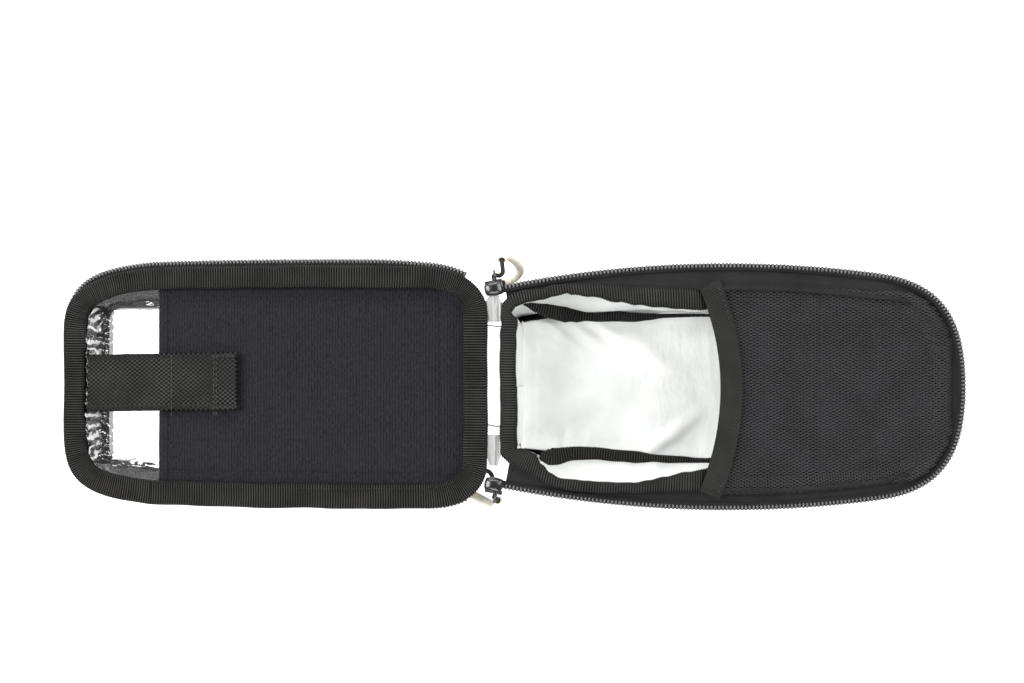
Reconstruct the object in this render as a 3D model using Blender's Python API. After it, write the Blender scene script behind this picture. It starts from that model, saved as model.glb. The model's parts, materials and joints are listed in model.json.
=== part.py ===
"""Soft motorcycle tank bag for a phone and small things, lying open.

The body stands on its base with its mouth up, and the lid lies beside it with
its inner face up, its far end on the ground and its near end hinged at the
body's front rim. Lengths below are millimetres, and the built model is in
metres. The origin is the middle of the base's underside: +X runs from the
hinge to the body's round end, +Y is the left side and +Z is up.
"""
import math

import bmesh
import bpy
from mathutils import Matrix, Vector

MM = 0.001
GAP = 0.3                   # between pieces that touch

# Body, with distances along X counted from the hinge line
FRONT = 2.7                 # front face of the rim binding
FRONT_FLAT = 23.0           # half the straight part of the front
CORNER_LEADS = (10.0, 12.0) # how far a front corner keeps its first headings
CORNER_END = 24.0           # where a front corner meets the side
SIDE_START = (0.0, 39.0)    # three points of the side arc of the zip
SIDE_WIDEST = (70.0, 47.9)
SIDE_END = (152.0, 44.5)
TAIL = 186.0                # outermost zip tooth
TAIL_HANDLE = 26.0          # fullness of the round end
RIM_INSET = 6.5             # from the zip's outer edge to the rim binding
RIM_TOP = 50.0
RIM_BOTTOM = 44.5
RIM_WIDTH = 6.6
WALL_LEAN = 2.0             # the walls close in by this towards the base
WALL_TOP = 44.2
BASE_THICK = 2.5
FOAM_THICK = 3.2
BOARD_THICK = 1.5
LINING_THICK = 0.8
ZIP_HEIGHT = 46.5           # middle of the zip's teeth
TAPE_START = 10.0           # where the tape leaves the front corner
CHAIN_START = -1.0          # the first tooth, held in the slider

# Base fastening
MAGNET_RADIUS = 10.0
MAGNET_THICK = 3.0
MAGNET_SPOTS = {
    "magnet_front_left": (40.0, 20.0),
    "magnet_front_right": (40.0, -20.0),
    "magnet_rear_left": (138.0, 20.0),
    "magnet_rear_right": (138.0, -20.0),
}

# Mesh pocket over the far half of the mouth
BAND_SIDE = 81.0            # where the band meets the side binding
BAND_BOW = 8.4              # how far its middle is set back
BAND_WIDTH = 9.0

# Lid, with distances counted from the hinge line in its own level frame
HINGE_HEIGHT = 50.5
LID_NEAR = 2.5
LID_FAR = 180.8
LID_TOP = -0.5              # rim plane, below the hinge line
LID_DEPTH = 15.0
LID_BINDING = 9.7
LID_PANEL_INSET = 6.5
LID_ZIP_SHIFT = 1.4         # the lid's zip shows past the binding on the left
WINDOW_NEAR = 26.0
WINDOW_FAR = 161.5
WINDOW_HALF_WIDTH = 33.0
WINDOW_CORNER = 5.0
POCKET_EDGE = 140.6         # free edge of the phone pocket
POCKET_HALF_WIDTH = 40.6
POCKET_NEAR = 9.0

# Phone strap, a flap of webbing
STRAP_ROOT = 170.3
STRAP_TIP = 108.2
STRAP_FOLD = 117.0
STRAP_WIDTH = 25.0
STRAP_MIDDLE = 0.5
STRAP_BOTTOM = -3.0         # underside of the webbing
STRAP_THICK = 1.1

# Zip sliders and their cord pulls
SLIDER_MIDDLE = 1.6
SLIDER_LENGTH = 8.0
EYE_RADIUS = 1.9
EYE_WIRE = 1.0
CORD_DIAMETER = 1.8
SLEEVE_DIAMETER = 3.7
SLEEVE_BORE = 2.5

HINGE_X = -(FRONT + TAIL - RIM_INSET) / 2
HINGE_LINE = Vector((HINGE_X, 0, HINGE_HEIGHT))
LID_FOOT = LID_FAR - LID_PANEL_INSET
LID_TILT = math.asin(HINGE_HEIGHT / math.hypot(LID_FOOT, LID_TOP - LID_DEPTH)) \
    - math.atan2(LID_DEPTH - LID_TOP, LID_FOOT)

# Routes of the two cord pulls, from the eye and back to it: along the zip,
# outwards and up
LEFT_ROUTE = [
    (0.3, 0.0, 0.0), (2.3, 0.7, -0.3), (3.6, 2.4, -1.1), (3.6, 4.7, -2.4),
    (3.4, 6.6, -4.6), (4.4, 7.0, -7.6), (6.2, 5.6, -10.4), (7.8, 3.6, -13.2),
    (8.0, 1.6, -16.6), (6.0, 0.4, -19.6), (2.6, 0.1, -20.0), (0.2, 0.4, -17.4),
    (-1.2, 0.6, -13.6), (-2.4, 0.7, -9.6), (-3.4, 0.6, -5.4), (-3.0, 0.3, -2.0),
    (-0.3, 0.0, 0.0),
]
RIGHT_ROUTE = [
    (0.3, 0.0, 0.0), (2.3, 0.7, -0.3), (3.6, 2.6, -1.4), (3.0, 4.9, -3.2),
    (1.0, 6.3, -5.4), (-1.8, 6.4, -8.0), (-4.8, 5.0, -10.8), (-7.8, 3.2, -13.6),
    (-10.4, 1.6, -16.4), (-12.0, 0.4, -19.8), (-10.6, -0.3, -23.0),
    (-7.4, -0.3, -23.6), (-5.0, 0.0, -20.6), (-4.2, 0.3, -16.4),
    (-4.0, 0.4, -12.0), (-4.0, 0.4, -7.6), (-3.4, 0.3, -3.0), (-0.3, 0.0, 0.0),
]
ROUTE_STEPS = 2             # points between two points of a route
SLEEVE_SPAN = (0.28, 0.76)  # the part of the cord inside its rubber sleeve


def circle_through(a, b, c):
    """Centre and radius of the circle through three points of the plane."""
    ax, ay = a
    bx, by = b
    cx, cy = c
    d = 2 * (ax * (by - cy) + bx * (cy - ay) + cx * (ay - by))
    sa, sb, sc = ax * ax + ay * ay, bx * bx + by * by, cx * cx + cy * cy
    x = (sa * (by - cy) + sb * (cy - ay) + sc * (ay - by)) / d
    y = (sa * (cx - bx) + sb * (ax - cx) + sc * (bx - ax)) / d
    return Vector((x, y)), math.hypot(ax - x, ay - y)


SIDE_CENTRE, SIDE_RADIUS = circle_through(SIDE_START, SIDE_WIDEST, SIDE_END)


def side_point(distance, outward=0.0):
    """A point of the left side arc at a distance along X, moved outwards."""
    angle = math.asin((distance - SIDE_CENTRE.x) / SIDE_RADIUS)
    reach = SIDE_RADIUS + outward
    return SIDE_CENTRE + Vector((math.sin(angle), math.cos(angle))) * reach


def side_tangent(distance):
    """Unit vector along the left side arc, towards the round end."""
    angle = math.asin((distance - SIDE_CENTRE.x) / SIDE_RADIUS)
    return Vector((math.cos(angle), -math.sin(angle)))


def bezier(p0, p1, p2, p3, count):
    """Points of a cubic curve after its first one."""
    points = []
    for i in range(1, count + 1):
        t = i / count
        s = 1 - t
        weights = (s ** 3, 3 * s * s * t, 3 * s * t * t, t ** 3)
        x = sum(w * p[0] for w, p in zip(weights, (p0, p1, p2, p3)))
        y = sum(w * p[1] for w, p in zip(weights, (p0, p1, p2, p3)))
        points.append(Vector((x, y)))
    return points


def side_and_tail(start, side_count, tail_count):
    """The zip's outer edge on the left, from a distance to the round end."""
    last = SIDE_END[0]
    side = [side_point(start + (last - start) * i / side_count)
            for i in range(side_count + 1)]
    leave = side[-1] + side_tangent(last) * TAIL_HANDLE
    tail = bezier(side[-1], leave, (TAIL, TAIL_HANDLE), (TAIL, 0), tail_count)
    return side + tail


def with_mirror(half):
    """A left half that ends on the centre line, followed by its right half."""
    return half + [Vector((p.x, -p.y)) for p in reversed(half[:-1])]


def offset(points, inset, closed):
    """The outline moved inwards, its points run clockwise seen from above."""
    count = len(points)
    moved = []
    for i, point in enumerate(points):
        before = points[i - 1] if closed or i else point
        after = points[(i + 1) % count] if closed or i < count - 1 else point
        normals = []
        for a, b in ((before, point), (point, after)):
            step = b - a
            if step.length > 1e-6:
                normals.append(Vector((step.y, -step.x)).normalized())
        middle = sum(normals, Vector((0, 0))).normalized()
        moved.append(point + middle * inset / middle.dot(normals[0]))
    return moved


def zip_line(start):
    """Outer edge of the body's zip, from the left side round to the right."""
    return with_mirror(side_and_tail(start, 7, 9))


def rim_outline():
    """Closed outer edge of the body's rim binding."""
    sides = offset(zip_line(CORNER_END), RIM_INSET, closed=False)
    half = sides[:len(sides) // 2 + 1]
    heading = side_tangent(CORNER_END) * CORNER_LEADS[1]
    corner = bezier((FRONT, FRONT_FLAT), (FRONT, FRONT_FLAT + CORNER_LEADS[0]),
                    half[0] - heading, half[0], 5)
    left = [Vector((FRONT, 0)), Vector((FRONT, FRONT_FLAT))] + corner + half[1:]
    return with_mirror(left)[:-1]


def lid_outline():
    """Closed outer edge of the lid's binding, clockwise from the near end."""
    near = [Vector((-LID_NEAR, 0)), Vector((-LID_NEAR, -28))]
    near += bezier((-LID_NEAR, -28), (-LID_NEAR, -42), (-13, -48), (-28, -48.4), 6)
    side = bezier((-28, -48.4), (-60, -49.2), (-105, -49.4), (-143, -48.4), 5)
    far = bezier((-143, -48.4), (-168, -46), (-LID_FAR, -42), (-LID_FAR, -20), 7)
    right = near + side + far + [Vector((-LID_FAR, 0))]
    return right + [Vector((p.x, -p.y)) for p in reversed(right[1:-1])]


def material(name, colour, roughness, metallic=0.0, alpha=1.0):
    """A Principled material, made once for each name."""
    if name in bpy.data.materials:
        return bpy.data.materials[name]
    made = bpy.data.materials.new(name)
    made.use_nodes = True
    shader = made.node_tree.nodes["Principled BSDF"]
    shader.inputs["Base Color"].default_value = (*colour, 1)
    shader.inputs["Roughness"].default_value = roughness
    shader.inputs["Metallic"].default_value = metallic
    shader.inputs["Alpha"].default_value = alpha
    return made


def finish(name, bm, look, place):
    """Make a closed mesh into an object, placed by a matrix in millimetres."""
    bmesh.ops.remove_doubles(bm, verts=bm.verts, dist=0.001)
    bmesh.ops.recalc_face_normals(bm, faces=bm.faces)
    bmesh.ops.scale(bm, vec=(MM, MM, MM), verts=bm.verts)
    mesh = bpy.data.meshes.new(name)
    bm.to_mesh(mesh)
    bm.free()
    mesh.shade_smooth()
    mesh.set_sharp_from_angle(angle=math.radians(35))
    mesh.materials.append(material(*look))
    made = bpy.data.objects.new(name, mesh)
    bpy.context.scene.collection.objects.link(made)
    where, turn, _ = place.decompose()
    made.location = where * MM
    made.rotation_euler = turn.to_euler()
    return made


def add_loop(bm, points):
    """A closed loop of edges through points, and the edges."""
    verts = [bm.verts.new(p) for p in points]
    return [bm.edges.new((a, verts[(i + 1) % len(verts)]))
            for i, a in enumerate(verts)]


def skin(bm, sections, closed):
    """Bridge loops of edges into a tube, with end faces unless it closes."""
    loops = [add_loop(bm, section) for section in sections]
    pairs = list(zip(loops, loops[1:]))
    if closed:
        pairs.append((loops[-1], loops[0]))
    for a, b in pairs:
        bmesh.ops.bridge_loops(bm, edges=a + b)
    if not closed:
        bmesh.ops.edgeloop_fill(bm, edges=loops[0])
        bmesh.ops.edgeloop_fill(bm, edges=loops[-1])


def edging(name, line, profile, look, place, closed):
    """A solid strip along a plan line; its profile is (inset, height) pairs."""
    rails = [(offset(line, inset, closed), height) for inset, height in profile]
    sections = []
    for i in range(len(line)):
        sections.append([(rail[i].x, rail[i].y, height) for rail, height in rails])
    bm = bmesh.new()
    skin(bm, sections, closed)
    return finish(name, bm, look, place)


def plate(name, outline, low, high, look, place):
    """A flat sheet with a given outline, between two heights."""
    bm = bmesh.new()
    edges = add_loop(bm, [(p.x, p.y, low) for p in outline])
    face = bmesh.ops.edgeloop_fill(bm, edges=edges)["faces"]
    made = bmesh.ops.extrude_face_region(bm, geom=face + edges)["geom"]
    top = [v for v in made if isinstance(v, bmesh.types.BMVert)]
    bmesh.ops.translate(bm, vec=(0, 0, high - low), verts=top)
    bmesh.ops.triangulate(bm, faces=[f for f in bm.faces if len(f.verts) > 4])
    return finish(name, bm, look, place)


def disc(name, centre, radius, low, high, sides, look, place):
    """A round plate."""
    bm = bmesh.new()
    middle = Matrix.Translation((centre[0], centre[1], (low + high) / 2))
    bmesh.ops.create_cone(bm, cap_ends=True, segments=sides, radius1=radius,
                          radius2=radius, depth=high - low, matrix=middle)
    return finish(name, bm, look, place)


def cut(target, cutter):
    """Take a cutter's shape out of a piece."""
    cutter.hide_render = True
    cutter.display_type = "WIRE"
    hole = target.modifiers.new("cut", "BOOLEAN")
    hole.operation = "DIFFERENCE"
    hole.object = cutter


def rounded_rectangle(x0, x1, half_width, radius):
    """Clockwise outline of a rectangle with round corners."""
    points = []
    corners = ((x0, half_width, 180), (x1, half_width, 90),
               (x1, -half_width, 0), (x0, -half_width, -90))
    for x, y, start in corners:
        cx = x + math.copysign(radius, (x0 + x1) / 2 - x)
        cy = y - math.copysign(radius, y)
        for i in range(4):
            angle = math.radians(start - 30 * i)
            points.append(Vector((cx + radius * math.cos(angle),
                                  cy + radius * math.sin(angle))))
    return points


def smooth_route(points):
    """A smooth curve through the points of a cord's route."""
    ends = [points[0], *points, points[-1]]
    curve = []
    for i in range(1, len(ends) - 2):
        p0, p1, p2, p3 = (Vector(p) for p in ends[i - 1:i + 3])
        for step in range(ROUTE_STEPS):
            t = step / ROUTE_STEPS
            curve.append(0.5 * (2 * p1 + (p2 - p0) * t
                                + (2 * p0 - 5 * p1 + 4 * p2 - p3) * t * t
                                + (3 * p1 - p0 - 3 * p2 + p3) * t ** 3))
    return curve + [Vector(points[-1])]


BLACK_FABRIC = ("black_fabric", (0.016, 0.016, 0.018), 0.85)
GROSGRAIN = ("grosgrain", (0.02, 0.02, 0.022), 0.75)
ZIP_TAPE = ("zip_tape", (0.012, 0.012, 0.014), 0.8)
ZIP_TEETH = ("zip_teeth", (0.015, 0.015, 0.016), 0.35)
SATIN = ("satin_lining", (0.72, 0.74, 0.73), 0.45)
FOAM = ("foam", (0.06, 0.06, 0.06), 0.95)
BOARD = ("board", (0.03, 0.03, 0.03), 0.6)
MAGNET = ("magnet", (0.55, 0.55, 0.57), 0.3, 1.0)
MESH_FABRIC = ("mesh_fabric", (0.02, 0.02, 0.026), 0.7)
VELOUR = ("velour", (0.015, 0.015, 0.022), 0.95)
WEBBING = ("webbing", (0.018, 0.018, 0.018), 0.7)
HOOK_TAPE = ("hook_tape", (0.012, 0.012, 0.012), 0.9)
CLEAR_FILM = ("clear_film", (0.9, 0.92, 0.92), 0.08, 0.0, 0.25)
BLACK_METAL = ("black_metal", (0.02, 0.02, 0.02), 0.3, 0.8)
CORD = ("cord", (0.015, 0.015, 0.015), 0.8)
SLEEVE = ("sleeve", (0.72, 0.66, 0.54), 0.5)

ON_BODY = Matrix.Translation((HINGE_X, 0, 0))
ON_LID = Matrix.Translation(HINGE_LINE) @ Matrix.Rotation(-LID_TILT, 4, "Y")


def build_base():
    """Base sheet, foam with its magnets, board and floor lining."""
    rim = rim_outline()
    foot = offset(rim, 1 + WALL_LEAN, closed=True)
    plate("base_panel", foot, 0, BASE_THICK, BLACK_FABRIC, ON_BODY)
    inner = offset(rim, 4.6 + WALL_LEAN, closed=True)
    low = BASE_THICK + GAP
    foam = plate("base_foam", inner, low, low + FOAM_THICK, FOAM, ON_BODY)
    for name, spot in MAGNET_SPOTS.items():
        disc(name, spot, MAGNET_RADIUS, low, low + MAGNET_THICK, 20, MAGNET, ON_BODY)
        hole = disc(name + "_hole", spot, MAGNET_RADIUS + GAP, low - 1,
                    low + FOAM_THICK + 1, 20, MAGNET, ON_BODY)
        cut(foam, hole)
    low += FOAM_THICK + GAP
    plate("stiffener_board", inner, low, low + BOARD_THICK, BOARD, ON_BODY)
    low += BOARD_THICK + GAP
    floor = offset(rim, 9.0 + WALL_LEAN, closed=True)
    plate("lining_floor", floor, low, low + LINING_THICK, SATIN, ON_BODY)
    return low


def wall(name, low, out_in, look):
    """A wall ring that leans in towards the base."""
    outer, inner = out_in
    profile = [(outer + WALL_LEAN, low), (outer, WALL_TOP),
               (inner, WALL_TOP), (inner + WALL_LEAN, low)]
    edging(name, rim_outline(), profile, look, ON_BODY, closed=True)


def build_walls(floor_low):
    """Outer wall, padding, lining and the bindings sewn over their seams."""
    wall("side_band", BASE_THICK + GAP, (1.0, 2.4), BLACK_FABRIC)
    wall("wall_foam", floor_low, (2.7, 5.3), FOAM)
    wall("lining_wall", floor_low, (5.6, 6.4), SATIN)
    top = RIM_TOP - 1.2
    profile = [(0, RIM_BOTTOM), (0, top), (1.4, RIM_TOP), (RIM_WIDTH - 1.4, RIM_TOP),
               (RIM_WIDTH, top), (RIM_WIDTH, RIM_BOTTOM)]
    edging("rim_binding", rim_outline(), profile, GROSGRAIN, ON_BODY, closed=True)
    line = offset(zip_line(CORNER_END), RIM_INSET, closed=False)
    left = line[1:len(line) // 2 - 5]
    right = [Vector((p.x, -p.y)) for p in reversed(left)]
    low = floor_low + LINING_THICK + GAP
    start = 6.8 + WALL_LEAN
    profile = [(start, low), (start - 0.25, low + 6), (start + 1.75, low + 6),
               (start + 2, low)]
    for name, part in (("seam_binding_left", left), ("seam_binding_right", right)):
        edging(name, part, profile, GROSGRAIN, ON_BODY, closed=False)


def build_zip():
    """Tape and teeth of the body's half of the zip."""
    tape = [(2.3, ZIP_HEIGHT - 0.4), (2.3, ZIP_HEIGHT + 0.4),
            (RIM_INSET - GAP, ZIP_HEIGHT + 0.4), (RIM_INSET - GAP, ZIP_HEIGHT - 0.4)]
    edging("zip_tape", zip_line(TAPE_START), tape, ZIP_TAPE, ON_BODY, closed=False)
    teeth = [(0, ZIP_HEIGHT - 0.6), (0, ZIP_HEIGHT + 0.6), (0.7, ZIP_HEIGHT + 1),
             (2, ZIP_HEIGHT + 1), (2, ZIP_HEIGHT - 1), (0.7, ZIP_HEIGHT - 1)]
    edging("zip_teeth", zip_line(CHAIN_START), teeth, ZIP_TEETH, ON_BODY, closed=False)


def pocket_outline(start, bow, inset):
    """Far part of the mouth, cut off by a line bowed towards the round end."""
    inner = offset(rim_outline(), inset, closed=True)
    far = [p for p in inner if p.x > start + bow]
    edge = far[0].y
    cross = []
    for i in range(9):
        across = -1 + 2 * i / 8
        cross.append(Vector((start + bow * (1 - across ** 2), across * edge)))
    return cross + far


def build_mesh_pocket():
    """Mesh panel, its backing and the elastic band along its mouth."""
    hold = RIM_WIDTH + GAP
    backing = pocket_outline(BAND_SIDE + 1, BAND_BOW, hold)
    plate("pocket_backing", backing, 45.3, 45.9, BLACK_FABRIC, ON_BODY)
    plate("mesh_pocket", backing, 46.6, 47.2, MESH_FABRIC, ON_BODY)
    edge = min(p.y for p in offset(rim_outline(), hold + 0.4, closed=True)
               if BAND_SIDE - 5 < p.x < BAND_SIDE + 30 and p.y > 0)
    near, far = [], []
    for i in range(11):
        across = -1 + 2 * i / 10
        x = BAND_SIDE + BAND_BOW * (1 - across ** 2)
        near.append(Vector((x, across * edge)))
        far.append(Vector((x + BAND_WIDTH, across * edge)))
    band = near + far[::-1]
    plate("mesh_pocket_band", band, 47.5, 48.9, GROSGRAIN, ON_BODY)


def build_hinge_tabs():
    """Two short satin tabs that join the lid to the front rim."""
    for name, side in (("hinge_tab_left", 1), ("hinge_tab_right", -1)):
        outline = [(-1.9, 22.5), (2.2, 22.5), (2.3, 29.5), (0.6, 34.5), (-1.2, 30)]
        points = [Vector((x, side * y)) for x, y in outline]
        plate(name, points, 46.7, 47.5, SATIN, ON_BODY)


def build_slider(name, side):
    """A zip slider, open towards the body so that the tape runs through."""
    spot = side_point(SLIDER_MIDDLE)
    along = side_tangent(SLIDER_MIDDLE)
    turn = math.atan2(along.y * side, along.x)
    place = ON_BODY @ Matrix.Translation((spot.x, side * spot.y, ZIP_HEIGHT))
    place = place @ Matrix.Rotation(turn, 4, "Z")
    profile = [(-4.6, 3.0), (1.2, 3.0), (1.9, 2.2), (1.9, -2.2), (1.2, -3.0),
               (-4.6, -3.0), (-4.6, -1.3), (0.3, -1.3), (0.3, 1.3), (-4.6, 1.3)]
    half = SLIDER_LENGTH / 2
    sections = [[(x, side * y, z) for y, z in profile] for x in (-half, half)]
    bm = bmesh.new()
    skin(bm, sections, closed=False)
    finish("slider_" + name, bm, BLACK_METAL, place)
    bm = bmesh.new()
    bmesh.ops.create_circle(bm, segments=6, radius=EYE_WIRE / 2,
                            matrix=Matrix.Translation((EYE_RADIUS, 0, 0))
                            @ Matrix.Rotation(math.pi / 2, 4, "X"))
    bmesh.ops.spin(bm, geom=bm.verts[:] + bm.edges[:], cent=(0, 0, 0),
                   axis=(0, 0, 1), angle=2 * math.pi, steps=14, use_merge=True)
    reach = 1.9 + GAP + EYE_RADIUS + EYE_WIRE / 2
    eye = place @ Matrix.Translation((0, side * reach, 0))
    finish("slider_eye_" + name, bm, BLACK_METAL,
           eye @ Matrix.Rotation(math.pi / 2, 4, "Y"))
    return eye


def tube(name, path, radii, sides, look, place):
    """A tube along a path, solid or, with a second radius, hollow."""
    sections = []
    across = Vector((0, 0, 1))
    for i, point in enumerate(path):
        ahead = (path[min(i + 1, len(path) - 1)] - path[max(i - 1, 0)]).normalized()
        across = (across - ahead * across.dot(ahead)).normalized()
        up = across.cross(ahead)
        ring = []
        for radius in radii:
            for k in range(sides):
                angle = 2 * math.pi * k / sides
                ring.append(point + (across * math.cos(angle)
                                     + up * math.sin(angle)) * radius)
        sections.append(ring)
    bm = bmesh.new()
    if len(radii) == 1:
        skin(bm, sections, closed=False)
        return finish(name, bm, look, place)
    outer = [add_loop(bm, ring[:sides]) for ring in sections]
    inner = [add_loop(bm, ring[sides:]) for ring in sections]
    for loops in (outer, inner):
        for a, b in zip(loops, loops[1:]):
            bmesh.ops.bridge_loops(bm, edges=a + b)
    for end in (0, -1):
        for a, b in zip(outer[end], inner[end]):
            bm.faces.new((a.verts[0], a.verts[1], b.verts[1], b.verts[0]))
    return finish(name, bm, look, place)


def build_pull(name, side, route, eye):
    """A cord loop through the slider's eye, with a rubber sleeve over it."""
    path = smooth_route([(x, side * y, z) for x, y, z in route])
    tube("pull_cord_" + name, path, [CORD_DIAMETER / 2], 8, CORD, eye)
    first = round(SLEEVE_SPAN[0] * (len(path) - 1))
    last = round(SLEEVE_SPAN[1] * (len(path) - 1))
    tube("pull_sleeve_" + name, path[first:last + 1],
         [SLEEVE_DIAMETER / 2, SLEEVE_BORE / 2], 8, SLEEVE, eye)


def build_lid():
    """The lid: panel with its window, film, wall, zip half and binding."""
    outline = lid_outline()
    bottom = LID_TOP - LID_DEPTH
    panel = plate("lid_panel", offset(outline, LID_PANEL_INSET, closed=True),
                  bottom, bottom + 1.2, BLACK_FABRIC, ON_LID)
    window = rounded_rectangle(-WINDOW_FAR, -WINDOW_NEAR, WINDOW_HALF_WIDTH,
                               WINDOW_CORNER)
    hole = plate("window_hole", window, bottom - 1, bottom + 2, BLACK_FABRIC, ON_LID)
    cut(panel, hole)
    low = bottom + 1.2 + GAP
    plate("window_film", offset(outline, 8.3, closed=True), low, low + 0.4,
          CLEAR_FILM, ON_LID)
    band = [(6.3, low), (3.0, LID_TOP - 4.7), (4.2, LID_TOP - 4.7), (7.7, low)]
    edging("lid_side_band", outline, band, BLACK_FABRIC, ON_LID, closed=True)
    top = LID_TOP
    rim = [(0, top - 2.6), (0, top - 0.6), (0.8, top), (LID_BINDING - 0.8, top),
           (LID_BINDING, top - 0.6), (LID_BINDING, top - 2.6)]
    edging("lid_binding", outline, rim, GROSGRAIN, ON_LID, closed=True)
    shifted = [p + Vector((0, LID_ZIP_SHIFT)) for p in outline if p.x < -12]
    tape_top = top - 3.4
    tape = [(1.9, tape_top - 0.6), (1.9, tape_top), (6.5, tape_top),
            (6.5, tape_top - 0.6)]
    edging("lid_zip_tape", shifted, tape, ZIP_TAPE, ON_LID, closed=False)
    teeth = [(-0.2, tape_top - 1), (-0.2, tape_top + 0.4), (1.6, tape_top + 0.4),
             (1.6, tape_top - 1)]
    edging("lid_zip_teeth", shifted, teeth, ZIP_TEETH, ON_LID, closed=False)
    pocket = [Vector((-POCKET_EDGE, -POCKET_HALF_WIDTH)),
              Vector((-POCKET_EDGE, POCKET_HALF_WIDTH)),
              Vector((-22, POCKET_HALF_WIDTH)),
              Vector((-POCKET_NEAR, POCKET_HALF_WIDTH - 14)),
              Vector((-POCKET_NEAR, 14 - POCKET_HALF_WIDTH)),
              Vector((-22, -POCKET_HALF_WIDTH))]
    plate("phone_pocket", pocket, top - 6.4, top - 5.0, VELOUR, ON_LID)


def build_strap():
    """The webbing flap that holds the phone, pivoted where it is sewn down."""
    root = ON_LID @ Matrix.Translation((-STRAP_ROOT, STRAP_MIDDLE,
                                        STRAP_BOTTOM + STRAP_THICK / 2))
    length = STRAP_ROOT - STRAP_TIP
    fold = STRAP_ROOT - STRAP_FOLD
    half = STRAP_THICK / 2
    side = [(0, -half), (length, -half), (length, half + 1), (fold, half + 1),
            (fold, half), (0, half)]
    ends = [[(x, y, z) for x, z in side] for y in (-STRAP_WIDTH / 2, STRAP_WIDTH / 2)]
    bm = bmesh.new()
    skin(bm, ends, closed=False)
    finish("phone_strap", bm, WEBBING, root)
    patch = [Vector((length - 20, -11)), Vector((length - 20, 11)),
             Vector((length - 1.5, 11)), Vector((length - 1.5, -11))]
    plate("hook_patch", patch, -half - GAP - 0.9, -half - GAP, HOOK_TAPE, root)


def clear_scene():
    """Remove every object that is in the scene."""
    for thing in list(bpy.data.objects):
        bpy.data.objects.remove(thing, do_unlink=True)


def main():
    clear_scene()
    floor_low = build_base()
    build_walls(floor_low)
    build_zip()
    build_mesh_pocket()
    build_hinge_tabs()
    left = build_slider("left", 1)
    right = build_slider("right", -1)
    build_pull("left", 1, LEFT_ROUTE, left)
    build_pull("right", -1, RIGHT_ROUTE, right)
    build_lid()
    build_strap()


main()
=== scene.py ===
"""Soft motorcycle tank bag, lying open: every piece of it, its finishes and a
plain stage. Lengths in the workings are millimetres; finished pieces are in
metres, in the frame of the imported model."""
import json
import math

import bmesh
import bpy
from bpy.props import FloatProperty, FloatVectorProperty, IntProperty, PointerProperty
from mathutils import Matrix, Vector, noise


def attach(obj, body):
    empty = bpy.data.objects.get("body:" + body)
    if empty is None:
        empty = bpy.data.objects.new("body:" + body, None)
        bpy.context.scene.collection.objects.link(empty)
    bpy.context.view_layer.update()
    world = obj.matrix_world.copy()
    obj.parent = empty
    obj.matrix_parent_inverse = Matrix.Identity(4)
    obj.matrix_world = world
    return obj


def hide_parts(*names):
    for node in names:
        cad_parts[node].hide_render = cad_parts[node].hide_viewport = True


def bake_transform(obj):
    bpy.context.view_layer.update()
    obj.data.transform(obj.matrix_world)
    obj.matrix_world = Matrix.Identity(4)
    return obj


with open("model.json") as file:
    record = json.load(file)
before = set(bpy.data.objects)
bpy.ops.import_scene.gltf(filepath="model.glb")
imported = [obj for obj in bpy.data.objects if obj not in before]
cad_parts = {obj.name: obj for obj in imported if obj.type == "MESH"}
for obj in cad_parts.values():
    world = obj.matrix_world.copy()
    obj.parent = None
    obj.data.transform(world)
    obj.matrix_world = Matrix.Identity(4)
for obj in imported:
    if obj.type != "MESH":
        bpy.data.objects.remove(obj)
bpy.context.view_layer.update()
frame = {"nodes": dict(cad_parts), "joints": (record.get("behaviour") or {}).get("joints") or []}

bl_info = {
    "name": "Tank bag",
    "version": (1, 0, 0),
    "blender": (4, 5, 0),
    "location": "3D View > Sidebar > Tank bag",
    "description": "Makes a small motorcycle tank bag that lies open, piece by piece",
    "category": "Object",
}

MM = 0.001
TURN = 2 * math.pi
WELD = 0.002


def joint_named(name):
    """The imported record's row for one joint."""
    return next(joint for joint in frame["joints"] if joint["name"] == name)


HINGE = Vector(joint_named("lid_hinge")["pos_m"]) / MM
LID_TILT = math.radians(joint_named("lid_hinge")["range_deg"][1] - 180)
ON_BODY = Matrix.Translation((HINGE.x, 0, 0))
ON_LID = Matrix.Translation(HINGE) @ Matrix.Rotation(-LID_TILT, 4, "Y")

# Body outline, in distances counted from the hinge line
SIDE_CENTRE = Vector((92.2242, -406.628))
SIDE_RADIUS = 455.071
SIDE_LAST = 152.0
TAIL = 186.0
TAIL_HANDLE = 26.0
FRONT = 2.7
CORNER_END = 24.0
LEFT_CORNER = (26.0, (9.0, 14.0))
RIGHT_CORNER = (22.5, (9.5, 12.0))
RIM_INSET = 6.5
RIM_TOP = 50.0
RIM_BOTTOM = 44.5
RIM_WIDTH = 6.6
WALL_LEAN = 2.0
ZIP_HEIGHT = 46.5
CHAIN_START = -1.0
TAPE_START = 4.5
POCKET_START = 81.0
POCKET_BOW = 8.4
POCKET_DROP = 4.4
NET_HEIGHT = 48.2
BACKING_HEIGHT = 45.6

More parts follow.
